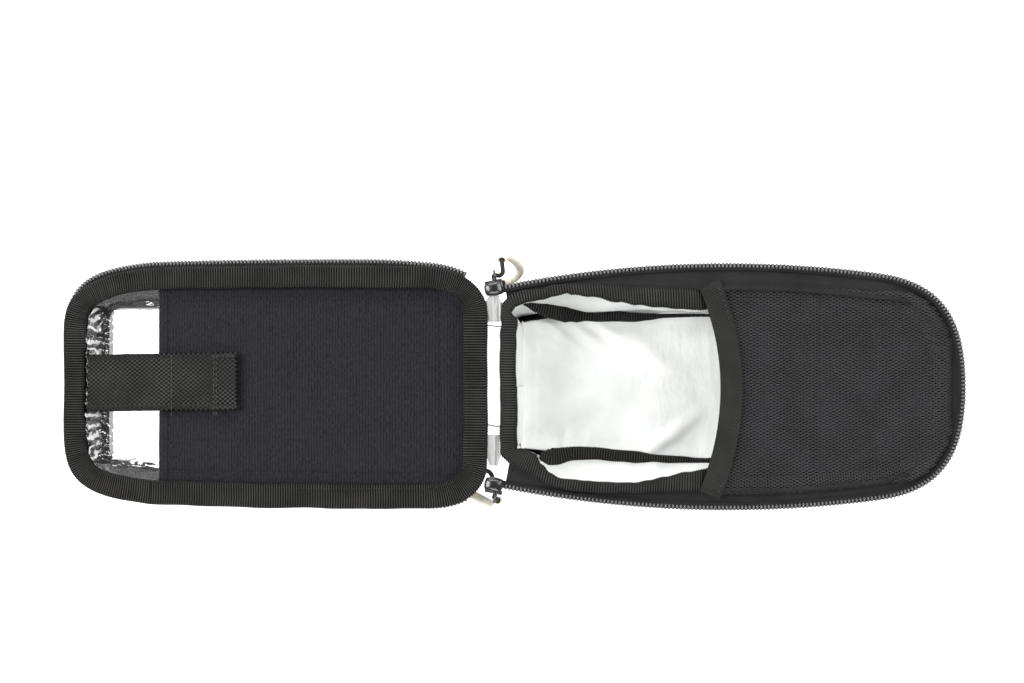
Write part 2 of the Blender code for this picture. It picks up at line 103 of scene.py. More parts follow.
# How far the soft rim lies inside its outline: distance, outer edge, inner edge
LEFT_LIE = (
    (2.7, 0.0, 0.0), (5.0, -1.6, -3.0), (8.0, -2.8, -4.0), (12.0, -3.1, -4.5),
    (18.8, -2.4, -4.8), (23.7, -3.5, -5.4), (28.8, -3.3, -6.0), (31.0, -2.8, -4.9),
    (38.0, -1.6, -3.2), (49.0, -0.1, 0.0), (56.0, 0.8, 1.6), (63.0, 1.4, 3.0),
    (73.0, 2.6, 4.4), (82.0, 3.6, 5.2), (94.0, 2.6, 3.2), (150.0, 2.4, 2.6),
    (172.0, 0.4, 0.4), (180.0, 0.0, 0.0),
)
RIGHT_LIE = (
    (2.7, 0.0, 0.3), (8.0, 0.0, 1.8), (14.0, 0.0, 1.9), (18.3, -0.8, -1.4),
    (22.0, -1.6, -3.9), (26.7, -2.6, -5.6), (31.0, -3.0, -5.2), (43.0, -2.5, -4.9),
    (55.0, -1.4, -4.0), (61.0, -0.8, -2.6), (67.0, -0.3, -0.9), (76.0, 0.4, 1.6),
    (84.0, 0.6, 3.0), (95.0, 0.4, 1.8), (108.0, 0.0, 0.0),
)

# Lid outline, in its own level frame
LID_NEAR = 2.5
LID_FAR = 180.8
LID_TOP = -0.5
LID_FLOOR = -15.5
LID_BINDING = 9.7
WINDOW = (26.0, 166.6, 31.7, 5.5)
VELOUR_EDGE = 140.6
VELOUR_HALF = 40.6
STRAP_ROOT = 170.4
STRAP_TIP = 106.4
STRAP_FOLD = 117.0
STRAP_WIDTH = 25.0
STRAP_BEND = 0.62
CORD_RADIUS = 0.9
EYE_DISTANCE = 1.6

# Cord routes from a slider's eye and back to it: along the zip, outwards, up
LEFT_ROUTE = [
    (0.3, 0.0, 0.0), (1.9, -0.4, -0.4), (3.2, 0.4, -1.0), (3.6, 2.4, -1.8),
    (3.8, 4.6, -3.0), (4.3, 6.4, -5.0), (6.0, 7.0, -7.6), (8.2, 5.6, -10.2),
    (9.8, 3.2, -13.0), (10.4, 0.8, -16.2), (8.6, -1.2, -18.8), (5.6, -2.4, -18.4),
    (2.8, -3.2, -15.2), (0.8, -3.0, -10.8), (-0.4, -1.6, -6.0), (-0.6, -0.3, -2.4),
    (-0.3, 0.0, 0.0),
]
RIGHT_ROUTE = [
    (0.3, 0.0, 0.0), (1.1, 0.9, -2.5), (2.1, 2.1, -6.0), (1.0, 4.5, -10.5),
    (-2.2, 3.6, -14.5), (-7.4, 2.4, -18.0), (-12.7, 1.0, -20.7), (-14.9, -0.6, -21.7),
    (-13.1, -3.9, -21.9), (-8.6, -7.2, -20.0), (-4.3, -8.6, -16.5), (-1.5, -5.3, -10.5),
    (-0.3, -2.4, -4.5), (-0.3, 0.0, 0.0),
]

# The stage, in metres: camera from above the hinge line, lamps with their powers
CAMERA_SHIFT = 0.00745
CAMERA_SIDE = 0.0178
CAMERA_HEIGHT = 0.85
CAMERA_LENS = 71.7
LAMPS = (
    ("light_left", (-1.05, 0.15, 0.95), (0.7, 0.9), 24.0),
    ("light_right", (0.85, 0.30, 0.9), (0.7, 0.9), 13.0),
    ("light_back", (-0.15, 1.1, 0.8), (1.1, 0.6), 11.0),
    ("light_front", (-0.05, -1.0, 1.1), (1.0, 0.5), 10.0),
)


# ---------------------------------------------------------------- outlines

def side_point(distance, outward=0.0):
    """A point of the left side arc of the zip."""
    angle = math.asin((distance - SIDE_CENTRE.x) / SIDE_RADIUS)
    reach = SIDE_RADIUS + outward
    return SIDE_CENTRE + Vector((math.sin(angle), math.cos(angle))) * reach


def side_tangent(distance):
    """Unit vector along the left side arc, towards the round end."""
    angle = math.asin((distance - SIDE_CENTRE.x) / SIDE_RADIUS)
    return Vector((math.cos(angle), -math.sin(angle)))


def curved(p0, p1, p2, p3, count=60):
    """Points of a cubic curve after its first one."""
    points = []
    for i in range(1, count + 1):
        t = i / count
        s = 1 - t
        weights = (s ** 3, 3 * s * s * t, 3 * s * t * t, t ** 3)
        points.append(Vector([sum(w * p[axis] for w, p in zip(weights, (p0, p1, p2, p3)))
                              for axis in (0, 1)]))
    return points


def mirrored(half):
    """A left half that ends on the centre line, followed by its right half."""
    return half + [Vector((p.x, -p.y)) for p in reversed(half[:-1])]


def moved_in(points, inset, closed):
    """The outline moved inwards, its points run clockwise seen from above."""
    return [point + inward * inset for point, inward in zip(points, inwards(points, closed))]


def inwards(points, closed):
    """Unit vectors that point into a clockwise outline."""
    count = len(points)
    result = []
    for i in range(count):
        before = points[i - 1] if closed or i else points[i]
        after = points[(i + 1) % count] if closed or i < count - 1 else points[i]
        step = after - before
        result.append(Vector((step.y, -step.x)).normalized())
    return result


def zip_edge(start):
    """Outer edge of the body's zip, from the left side round to the right."""
    side = [side_point(start + (SIDE_LAST - start) * i / 120) for i in range(121)]
    leave = side[-1] + side_tangent(SIDE_LAST) * TAIL_HANDLE
    tail = curved(side[-1], leave, (TAIL, TAIL_HANDLE), (TAIL, 0), 90)
    return mirrored(side + tail)


def rim_edge():
    """Closed outer edge of the body's rim binding, squarer at its left corner."""
    sides = moved_in(zip_edge(CORNER_END), RIM_INSET, closed=False)
    half = sides[:len(sides) // 2 + 1]
    around = []
    for flat, leads in (LEFT_CORNER, RIGHT_CORNER):
        heading = side_tangent(CORNER_END) * leads[1]
        corner = curved((FRONT, flat), (FRONT, flat + leads[0]),
                        half[0] - heading, half[0], 50)
        around.append([Vector((FRONT, flat * i / 12)) for i in range(13)]
                      + corner + half[1:])
    left, right = around
    return left + [Vector((p.x, -p.y)) for p in reversed(right[1:-1])]


def lid_edge():
    """Closed outer edge of the lid's binding, clockwise from the near end."""
    right = [Vector((-LID_NEAR, -28 * i / 14)) for i in range(15)]
    right += curved((-LID_NEAR, -28), (-LID_NEAR, -42), (-13, -48), (-28, -48.4))
    right += curved((-28, -48.4), (-60, -49.2), (-105, -49.4), (-143, -48.4))
    right += curved((-143, -48.4), (-168, -46), (-LID_FAR, -42), (-LID_FAR, -20))
    right += [Vector((-LID_FAR, -20 + 20 * i / 10)) for i in range(1, 11)]
    return right + [Vector((p.x, -p.y)) for p in reversed(right[1:-1])]


def evenly(points, closed, step=None, count=None):
    """The outline's points set an even step apart, and its whole length."""
    ring = points + points[:1] if closed else points
    reach = [0.0]
    for a, b in zip(ring, ring[1:]):
        reach.append(reach[-1] + (b - a).length)
    total = reach[-1]
    count = count or max(2, round(total / step))
    result = []
    k = 0
    for i in range(count if closed else count + 1):
        want = total * i / count
        while k < len(ring) - 2 and reach[k + 1] < want:
            k += 1
        share = (want - reach[k]) / max(reach[k + 1] - reach[k], 1e-9)
        result.append(ring[k].lerp(ring[k + 1], share))
    return result, total


def half_width(points, x):
    """How far an outline reaches to +Y at a distance along X."""
    best = 0.0
    for a, b in zip(points, points[1:] + points[:1]):
        if (a.x - x) * (b.x - x) <= 0 and a.x != b.x:
            y = a.y + (b.y - a.y) * (x - a.x) / (b.x - a.x)
            best = max(best, y)
    return best


def rounded_rectangle(x0, x1, half, radius, count):
    """Clockwise outline of a rectangle with round corners, seen from above."""
    points = []
    for x, y, start in ((x0, half, 180), (x1, half, 90), (x1, -half, 0), (x0, -half, -90)):
        cx = x + math.copysign(radius, (x0 + x1) / 2 - x)
        cy = y - math.copysign(radius, y)
        for i in range(count):
            angle = math.radians(start - 90 * i / (count - 1))
            points.append(Vector((cx + radius * math.cos(angle),
                                  cy + radius * math.sin(angle))))
    return points


def smooth_route(points, steps):
    """A smooth curve through the points of a cord's route."""
    ends = [points[0], *points, points[-1]]
    curve = []
    for i in range(1, len(ends) - 2):
        p0, p1, p2, p3 = (Vector(p) for p in ends[i - 1:i + 3])
        for step in range(steps):
            t = step / steps
            curve.append(0.5 * (2 * p1 + (p2 - p0) * t
                                + (2 * p0 - 5 * p1 + 4 * p2 - p3) * t * t
                                + (3 * p1 - p0 - 3 * p2 + p3) * t ** 3))
    return curve + [Vector(points[-1])]


def ease(low, high, value):
    """0 below low, 1 above high, and a smooth step between."""
    t = min(max((value - low) / (high - low), 0.0), 1.0)
    return t * t * (3 - 2 * t)


def wobble(x, y, size, seed=0.0):
    """Smooth unevenness between about -1 and 1 with bumps of a given size."""
    return noise.noise(Vector((x / size, y / size, seed)))


def between(rows, value):
    """The numbers that follow a table's first column, read between its rows."""
    if value <= rows[0][0]:
        return rows[0][1:]
    for low, high in zip(rows, rows[1:]):
        if value <= high[0]:
            t = ease(low[0], high[0], value)
            return [a + (b - a) * t for a, b in zip(low[1:], high[1:])]
    return rows[-1][1:]


def lying(spot, inset, level):
    """An inset changed to follow the uneven rim, less so towards the base."""
    outer, inner = between(LEFT_LIE if spot.y > 0 else RIGHT_LIE, spot.x)
    share = min(max(inset / RIM_WIDTH, 0.0), 1.0)
    return inset + (outer + (inner - outer) * share) * ease(6.0, 43.0, level)


# ---------------------------------------------------------------- mesh making

def laid_grid(along, across, place):
    """A grid put where place(i, j) says, with its unrolled millimetres as UVs."""
    bm = bmesh.new()
    bmesh.ops.create_grid(bm, x_segments=along, y_segments=across, size=0.5)
    flat = bm.loops.layers.uv.new("flat")
    spread = {}
    for vert in bm.verts:
        i = round((vert.co.x + 0.5) * along)
        j = round((vert.co.y + 0.5) * across)
        point, unrolled = place(i, j)
        vert.co = point
        spread[vert] = Vector(unrolled) * MM
    for face in bm.faces:
        for loop in face.loops:
            loop[flat].uv = spread[loop.vert]
    return bm


def swept(points, closed, profile, step=None, count=None, ring=True, shape=None):
    """A profile of (inset, height) pairs carried along a plan line.

    shape(s, j, spot, inset, height) may change a pair where it stands."""
    line, total = evenly(points, closed, step, count)
    inner = inwards(line, closed)
    stations = len(line)
    around = [0.0]
    pairs = profile + profile[:1] if ring else profile
    for a, b in zip(pairs, pairs[1:]):
        around.append(around[-1] + math.dist(a, b))

    def place(i, j):
        s = total * i / (stations if closed else stations - 1)
        k = i % stations
        inset, height = pairs[j]
        if shape:
            inset, height = shape(s, j % len(profile), line[k], inset, height)
        spot = line[k] + inner[k] * inset
        return (spot.x, spot.y, height), (s, around[j])

    bm = laid_grid(stations if closed else stations - 1, len(pairs) - 1, place)
    weld(bm)
    if ring and not closed:
        ends = [edge for edge in bm.edges if edge.is_boundary]
        bmesh.ops.holes_fill(bm, edges=ends, sides=0)
    return bm


def spread_panel(points, x_low, x_high, along, across, height, ease_ends=True):
    """A sheet that fills an outline between two distances along X."""
    widths = []
    for i in range(along + 1):
        t = i / along
        if ease_ends:
            t = 0.5 * t + 0.25 * (1 - math.cos(math.pi * t))
        x = x_low + (x_high - x_low) * t
        widths.append((x, half_width(points, min(max(x, x_low + 0.01), x_high - 0.01))))

    def place(i, j):
        x, half = widths[i]
        y = half * (2 * j / across - 1)
        return (x, y, height(x, y)), (x, y)

    bm = laid_grid(along, across, place)
    weld(bm)
    return bm


def weld(bm):
    """Merge the points that lie together, as at a seam or a pole."""
    bmesh.ops.remove_doubles(bm, verts=bm.verts, dist=WELD)


def repeated(template, places):
    """Copies of a small shape, one at each place."""
    bm = bmesh.new()
    source = bpy.data.meshes.new("template")
    template.to_mesh(source)
    template.free()
    for place in places:
        before = len(bm.verts)
        bm.from_mesh(source)
        bm.verts.ensure_lookup_table()
        bmesh.ops.transform(bm, matrix=place, verts=bm.verts[before:])
    bpy.data.meshes.remove(source)
    return bm


def finish_piece(name, bm, look, place, body, nodes=(), closed=True,
                 thick=0.0):
    """Turn a bmesh in millimetres into a finished piece that rides on a body."""
    if closed:
        bmesh.ops.recalc_face_normals(bm, faces=bm.faces)
    elif sum(face.normal.z * face.calc_area() for face in bm.faces) < 0:
        bmesh.ops.reverse_faces(bm, faces=bm.faces)
    bmesh.ops.transform(bm, matrix=Matrix.Scale(MM, 4) @ place, verts=bm.verts)
    bm.normal_update()
    mesh = bpy.data.meshes.new(name)
    bm.to_mesh(mesh)
    bm.free()
    mesh.shade_smooth()
    mesh.materials.append(look)
    piece = bpy.data.objects.new(name, mesh)
    bpy.context.scene.collection.objects.link(piece)
    if thick:
        wall = piece.modifiers.new("thickness", "SOLIDIFY")
        wall.thickness = thick * MM
        wall.offset = 0
    if body:
        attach(piece, body)
    if nodes:
        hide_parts(*nodes)
    return piece


def rounded_strip(width, low, high, radius, count):
    """Ring of (inset, height) pairs with round corners."""
    pairs = []
    for x, z, start in ((radius, high - radius, 180), (width - radius, high - radius, 90),
                        (width - radius, low + radius, 0), (radius, low + radius, -90)):
        for i in range(count):
            angle = math.radians(start - 90 * i / (count - 1))
            pairs.append((x + radius * math.cos(angle), z + radius * math.sin(angle)))
    return pairs


def divided(profile, parts):
    """A ring of pairs with each of its long edges cut into equal parts."""
    pairs = []
    for a, b in zip(profile, profile[1:] + profile[:1]):
        steps = parts if math.dist(a, b) > 2 else 1
        pairs += [(a[0] + (b[0] - a[0]) * k / steps, a[1] + (b[1] - a[1]) * k / steps)
                  for k in range(steps)]
    return pairs


def ring_normals(pairs):
    """Outward unit vectors of a ring of (inset, height) pairs."""
    count = len(pairs)
    result = []
    for i in range(count):
        a = pairs[i - 1]
        b = pairs[(i + 1) % count]
        step = Vector((b[0] - a[0], b[1] - a[1]))
        result.append(Vector((-step.y, step.x)).normalized())
    return result


def ribbed(pairs, pitch, height, sway, seed):
    """A shape rule for grosgrain: crosswise ribs, and a slightly uneven lie."""
    normals = ring_normals(pairs)

    def shape(s, j, spot, inset, level):
        out = height * math.cos(TURN * s / pitch)
        inset += normals[j].x * out + sway * wobble(spot.x, spot.y, 17, seed)
        level += normals[j].y * out + 0.6 * sway * wobble(spot.x, spot.y, 11, seed + 5)
        return inset, level

    return shape


def row_places(points, closed, pitch, height):
    """Places an even step apart on a plan line, turned along it, for stitches or teeth.

    height is a number, or a function of a point's x and y."""
    line = evenly(points, closed, step=pitch)[0]
    places = []
    for point, inward in zip(line, inwards(line, closed)):
        level = height(point.x, point.y) if callable(height) else height
        angle = math.atan2(inward.x, -inward.y)
        places.append(Matrix.Translation((point.x, point.y, level))
                      @ Matrix.Rotation(angle, 4, "Z"))
    return places


def stitches(name, rows, length, radius, look, place, body):
    """Short thread humps at many places, made as one piece."""
    template = bmesh.new()
    bmesh.ops.create_uvsphere(template, u_segments=6, v_segments=5, radius=1)
    bmesh.ops.rotate(template, verts=template.verts, cent=(0, 0, 0),
                     matrix=Matrix.Rotation(math.pi / 2, 3, "Y"))
    bmesh.ops.scale(template, verts=template.verts, vec=(length / 2, radius, radius))
    bm = repeated(template, rows)
    return finish_piece(name, bm, look, place, body)


def travel_frames(path):
    """Two steady crosswise directions at each point of a path."""
    frames = []
    across = Vector((0, 0, 1))
    for i in range(len(path)):
        ahead = path[min(i + 1, len(path) - 1)] - path[max(i - 1, 0)]
        ahead.normalize()
        across = (across - ahead * across.dot(ahead)).normalized()
        frames.append((across.copy(), across.cross(ahead)))
    return frames


# ---------------------------------------------------------------- finishes

class Finish:
    """Builds the nodes of one material, in millimetres of the piece or its UVs."""

    def __init__(self, name, settings):
        self.material = bpy.data.materials.new(name)
        self.material.use_nodes = True
        self.tree = self.material.node_tree
        self.shader = self.tree.nodes["Principled BSDF"]
        for socket, value in settings.items():
            self.shader.inputs[socket].default_value = value

    def node(self, kind):
        """A new node."""
        return self.tree.nodes.new(kind)

    def feed(self, socket, value):
        """Link a socket to another, or set its number or colour."""
        if isinstance(value, bpy.types.NodeSocket):
            self.tree.links.new(value, socket)
        else:
            socket.default_value = value

    def math(self, operation, *values):
        """One Math node."""
        made = self.node("ShaderNodeMath")
        made.operation = operation
        for socket, value in zip(made.inputs, values):
            self.feed(socket, value)
        return made.outputs[0]

    def coordinates(self, source):
        """Coordinates in millimetres: the piece's UV map or its own space."""
        if source == "UV":
            start = self.node("ShaderNodeUVMap")
            start.uv_map = "flat"
            out = start.outputs[0]
        else:
            start = self.node("ShaderNodeTexCoord")
            out = start.outputs["Object"]
        mapping = self.node("ShaderNodeMapping")
        mapping.inputs["Scale"].default_value = (1 / MM,) * 3
        self.feed(mapping.inputs["Vector"], out)
        return mapping.outputs[0]

    def axes(self, vector):
        """The three numbers of a vector."""
        made = self.node("ShaderNodeSeparateXYZ")
        self.feed(made.inputs[0], vector)
        return made.outputs

    def wave(self, axis, pitch):
        """A sine along one axis with a given pitch."""
        return self.math("SINE", self.math("MULTIPLY", axis, TURN / pitch))

    def noise(self, vector, size, detail=3.0, stretch=None):
        """Noise with features of a given size."""
        if stretch:
            mapping = self.node("ShaderNodeMapping")
            mapping.inputs["Scale"].default_value = stretch
            self.feed(mapping.inputs["Vector"], vector)
            vector = mapping.outputs[0]
        made = self.node("ShaderNodeTexNoise")
        made.inputs["Scale"].default_value = 1 / size
        made.inputs["Detail"].default_value = detail
        self.feed(made.inputs["Vector"], vector)
        return made.outputs["Fac"]

    def ramp(self, factor, low, high):
        """A number stretched from low..high to 0..1."""
        made = self.node("ShaderNodeMapRange")
        self.feed(made.inputs["Value"], factor)
        made.inputs["From Min"].default_value = low
        made.inputs["From Max"].default_value = high
        return made.outputs[0]

    def mix(self, factor, dark, light):
        """A colour between two others."""
        made = self.node("ShaderNodeMix")
        made.data_type = "RGBA"
        self.feed(made.inputs[0], factor)
        self.feed(made.inputs[6], dark)
        self.feed(made.inputs[7], light)
        return made.outputs[2]

    def bump(self, height, depth, strength=1.0):
        """Relief of a given depth in millimetres."""
        made = self.node("ShaderNodeBump")
        made.inputs["Strength"].default_value = strength
        made.inputs["Distance"].default_value = depth * MM
        self.feed(made.inputs["Height"], height)
        self.feed(self.shader.inputs["Normal"], made.outputs[0])

    def paint(self, colour):
        """Set the base colour."""
        self.feed(self.shader.inputs["Base Color"], colour)

    def rough(self, value):
        """Set the roughness."""
        self.feed(self.shader.inputs["Roughness"], value)


def toned(colour, scale):
    """A colour made darker or lighter, with its alpha."""
    return (*[min(part * scale, 1.0) for part in colour], 1.0)


def ribs_pattern(finish, uv, pitch):
    """Grosgrain: ribs across the tape with threads crossing them."""
    u, v = finish.axes(uv)[:2]
    rib = finish.wave(finish.math("ADD", u, pitch / 4), pitch)
    thread = finish.wave(v, 0.55)
    return finish.math("ADD", finish.math("MULTIPLY", rib, 0.8),
                       finish.math("MULTIPLY", thread, 0.2))


def weave_pattern(finish, uv, pitch):
    """Plain weave."""
    u, v = finish.axes(uv)[:2]
    return finish.math("MULTIPLY", finish.wave(u, pitch), finish.wave(v, pitch * 0.8))


def twill_pattern(finish, uv, pitch):
    """Twill: slanting lines broken by the crossing threads."""
    u, v = finish.axes(uv)[:2]
    slant = finish.wave(finish.math("ADD", u, v), pitch)
    cross = finish.wave(finish.math("SUBTRACT", u, finish.math("MULTIPLY", v, 0.35)),
                        pitch * 0.55)
    return finish.math("ADD", finish.math("MULTIPLY", slant, 0.7),
                       finish.math("MULTIPLY", cross, 0.3))


def cloth(name, colour, roughness, pattern, pitch, depth, source="UV", contrast=0.75,
          grain=0.35, settings=None):
    """A woven cloth: its pattern drives colour, relief and roughness. Its light threads are partly
    painted light on the crests, and its large dark patches are painted shade.
    """
    values = {"Specular IOR Level": 0.25}
    values.update(settings or {})
    finish = Finish(name, values)
    place = finish.coordinates(source)
    threads = finish.ramp(pattern(finish, place, pitch), -1, 1)
    fuzz = finish.noise(place, 0.35, 2.0)
    painted_shade_noise = finish.noise(place, 14.0, 3.0)
    tone = finish.math("ADD", finish.math("MULTIPLY", threads, 1 - grain),
                       finish.math("MULTIPLY", fuzz, grain))
    # Painted light: the contrast makes the thread crests much lighter than the hollows, as light
    # falling on them would, on top of the weave's own pattern.
    weave_and_light = finish.math("POWER", tone, 1.7)
    body = finish.mix(weave_and_light, toned(colour, 1 - contrast), toned(colour, 1 + 3.4 * contrast))
    # Painted shade: large noise patches darken the cloth, as the shade of its soft folds would.
    shade = finish.ramp(painted_shade_noise, 0.35, 0.65)
    finish.paint(finish.mix(finish.math("MULTIPLY", shade, 0.45), body,
                            toned(colour, 0.45)))
    finish.rough(finish.math("ADD", roughness - 0.1, finish.math("MULTIPLY", fuzz, 0.2)))
    finish.bump(tone, depth)
    return finish.material


def make_finishes(colours, sizes):
    """Every material of the bag."""
    rib = sizes.rib_pitch / MM
    black = tuple(colours.fabric)
    finishes = {
        # The grosgrain's contrast near 1 paints its rib crests far lighter than its hollows:
        # painted light.
        "grosgrain": cloth("grosgrain", tuple(colours.grosgrain), 0.6, ribs_pattern, rib,
                           0.35, contrast=0.97, grain=0.12,
                           settings={"Specular IOR Level": 0.06}),
        "zip_tape": cloth("zip_tape", black, 0.75, twill_pattern, 1.0, 0.12,
                          contrast=0.7, settings={"Specular IOR Level": 0.12}),
        "outer_fabric": cloth("outer_fabric", black, 0.7, weave_pattern, 0.9, 0.12,
                              contrast=0.7),
        "band": cloth("pocket_band", tuple(colours.grosgrain), 0.65, twill_pattern, 1.3,
                      0.2, contrast=0.75, grain=0.5,
                      settings={"Specular IOR Level": 0.08}),
        "webbing": cloth("webbing", tuple(colours.webbing), 0.45, weave_pattern, 2.1,
                         0.4, contrast=0.97, grain=0.15,
                         settings={"Specular IOR Level": 0.06}),
        "hook_tape": cloth("hook_tape", black, 0.8, weave_pattern, 1.2, 0.5,
                           contrast=0.8),
        "mesh_fabric": cloth("mesh_fabric", tuple(colours.mesh), 0.5, weave_pattern, 0.5,
                             0.05, contrast=0.4,
                             settings={"Specular IOR Level": 0.3, "Sheen Weight": 0.1}),
        "backing": cloth("backing", black, 0.8, weave_pattern, 0.7, 0.05, contrast=0.4,
                         settings={"Specular IOR Level": 0.08}),
    }
    finishes.update(make_special_finishes(colours))
    return finishes


def make_satin(name, tint):
    """Pale satin with fine yarn and soft creases."""
    satin = Finish(name, {"Specular IOR Level": 0.45, "Sheen Weight": 0.2})
    uv = satin.coordinates("UV")
    u, v = satin.axes(uv)[:2]
    yarn = satin.math("MULTIPLY", satin.wave(u, 0.45), satin.wave(v, 0.6))
    soft = satin.noise(uv, 22.0, 3.0)
    satin.paint(satin.mix(satin.ramp(soft, 0.3, 0.75), toned(tint, 0.86), toned(tint, 1.08)))
    satin.rough(satin.math("ADD", 0.36, satin.math("MULTIPLY", soft, 0.18)))
    creases = satin.noise(uv, 5.0, 4.0, stretch=(1.0, 0.45, 1.0))
    satin.bump(satin.math("ADD", satin.math("MULTIPLY", creases, 1.0),
                          satin.math("MULTIPLY", yarn, 0.03)), 0.9, 0.6)
    return satin.material


def shades(colour, low, high):
    """A darker and a lighter tone of one colour."""
    return toned(tuple(colour), low), toned(tuple(colour), high)


def grained(name, settings, grain, tones, roughness, relief, stretch=None, span=None):
    """A finish whose colour, roughness and relief all follow one noise.

    grain is the noise's size and detail, roughness its least value and its spread."""
    made = Finish(name, settings)
    noise_out = made.noise(made.coordinates("Object"), *grain, stretch=stretch)
    share = made.ramp(noise_out, *span) if span else noise_out
    made.paint(made.mix(share, *tones))
    made.rough(made.math("ADD", roughness[0], made.math("MULTIPLY", noise_out, roughness[1])))
    if relief:
        made.bump(noise_out, relief)
    return made.material


def make_special_finishes(colours):
    """Finishes that aren't a plain weave."""
    made = {}

    velour = Finish("velour", {"Specular IOR Level": 0.1, "Sheen Weight": 0.12,
                               "Sheen Roughness": 0.5,
                               "Sheen Tint": (0.7, 0.7, 0.8, 1.0)})
    uv = velour.coordinates("UV")
    u = velour.axes(uv)[0]
    pile = velour.ramp(velour.noise(uv, 0.5, 3.0, stretch=(1.0, 0.35, 1.0)), 0.3, 0.7)
    cords = velour.wave(velour.math("ADD", u, velour.math("MULTIPLY", pile, 0.8)), 1.25)
    streaks = velour.noise(uv, 7.0, 4.0, stretch=(1.0, 0.3, 1.0))
    tone = velour.math("ADD", velour.math("MULTIPLY", velour.ramp(cords, -1, 1), 0.45),
                       velour.math("MULTIPLY", pile, 0.55))
    tint = tuple(colours.velour)
    nap = velour.mix(tone, toned(tint, 0.05), toned(tint, 2.9))
    velour.paint(velour.mix(velour.math("MULTIPLY", velour.ramp(streaks, 0.3, 0.75), 0.35),
                            nap, toned(tint, 1.9)))
    velour.rough(velour.math("ADD", 0.82, velour.math("MULTIPLY", pile, 0.15)))
    velour.bump(tone, 0.25)
    made["velour"] = velour.material

    # The hinge tabs take the lining's satin darkened to 0.42: a shaded copy of one material,
    # painted shade.
    for name, share in (("satin_lining", 1.0), ("shaded_hinge_satin", 0.42)):
        made[name] = make_satin(name, tuple(part * share for part in colours.satin))

    film = Finish("clear_film", {"Alpha": 0.42, "Specular IOR Level": 0.8,
                                 "Coat Weight": 1.0, "Coat Roughness": 0.03,
                                 "Coat IOR": 2.7})
    place = film.coordinates("Object")
    haze = film.noise(place, 9.0, 2.0)
    x, y = film.axes(place)[:2]
    # Painted reflection: past the window's far edge, wavy lines turn the film near-white and
    # nearly opaque, standing in for lamps reflected in its creases.
    edge = HINGE.x - WINDOW[1] * math.cos(LID_TILT)
    beyond = film.ramp(x, edge + 0.5, edge - 1.0)
    bend = film.math("MULTIPLY", film.noise(place, 6.0, 2.0), 10.0)
    lines = film.wave(film.math("ADD", y, bend), 4.4)
    painted_glare = film.math("MULTIPLY", beyond, film.ramp(lines, 0.1, 0.6))
    clear = film.mix(haze, (0.02, 0.02, 0.022, 1), (0.12, 0.12, 0.12, 1))
    film.paint(film.mix(painted_glare, clear, (0.85, 0.85, 0.85, 1)))
    film.feed(film.shader.inputs["Alpha"],
              film.math("ADD", 0.42, film.math("MULTIPLY", painted_glare, 0.55)))
    film.rough(film.math("ADD", 0.05, film.math("MULTIPLY", haze, 0.06)))
    film.bump(film.noise(place, 6.0, 2.0, stretch=(0.4, 1.0, 1.0)), 1.1, 0.5)
    made["clear_film"] = film.material

    cord = Finish("cord", {"Specular IOR Level": 0.3})
    place = cord.coordinates("Object")
    x, y, z = cord.axes(place)[:3]
    braid = cord.math("MULTIPLY", cord.wave(cord.math("ADD", x, z), 0.7),
                      cord.wave(cord.math("SUBTRACT", y, z), 0.7))
    tint = tuple(colours.grosgrain)
    cord.paint(cord.mix(cord.ramp(braid, -1, 1), toned(tint, 0.4), toned(tint, 1.5)))
    cord.rough(cord.math("ADD", 0.6, cord.math("MULTIPLY", cord.ramp(braid, -1, 1), 0.15)))
    cord.bump(braid, 0.12)
    made["cord"] = cord.material

    shine = "Specular IOR Level"
    # The teeth colour is lighter than black nylon: partly a painted highlight giving each tooth a
    # light dot, beside the real gloss of the coat.
    made["zip_teeth"] = grained(
        "zip_teeth", {shine: 0.6, "Coat Weight": 0.35, "Coat Roughness": 0.15},
        (0.8, 2.0), shades(colours.teeth, 0.6, 1.5), (0.2, 0.15), 0.05)
    made["black_metal"] = grained(
        "black_metal", {"Metallic": 0.5, shine: 0.6, "Coat Weight": 0.6,
                        "Coat Roughness": 0.1},
        (1.6, 4.0), ((0.008, 0.008, 0.009, 1), (0.05, 0.05, 0.052, 1)), (0.18, 0.2), 0.03,
        span=(0.45, 0.8))
    made["sleeve"] = grained(
        "sleeve", {shine: 0.4, "Subsurface Weight": 0.15, "Subsurface Scale": 0.002},
        (3.0, 3.0), shades(colours.sleeve, 0.88, 1.06), (0.42, 0.15), 0.15,
        span=(0.3, 0.7))
    made["thread"] = grained("thread", {shine: 0.4}, (0.3, 2.0),
                             shades(colours.webbing, 1.0, 3.0), (0.5, 0.2), 0.08)
    made["foam"] = grained("foam", {shine: 0.2}, (1.1, 4.0),
                           shades((1, 1, 1), 0.02, 0.09), (0.85, 0.1), 0.5)
    made["board"] = grained("board", {shine: 0.35}, (2.0, 5.0),
                            shades((1, 1, 1), 0.012, 0.045), (0.5, 0.2), 0.08,
                            stretch=(0.3, 1.0, 1.0))
    made["magnet"] = grained("magnet", {"Metallic": 1.0}, (1.5, 5.0),
                             ((0.42, 0.42, 0.44, 1), (0.66, 0.66, 0.68, 1)),
                             (0.22, 0.2), 0.03)
    made["floor"] = grained(
        "studio_floor", {shine: 0.1, "Emission Strength": 0.9,
                         "Emission Color": (1.0, 1.0, 1.0, 1.0)},
        (60.0, 2.0), shades((1, 1, 1), 0.93, 0.95), (0.85, 0.1), 0.0)
    return made


LOOKS = {}


# ---------------------------------------------------------------- settings

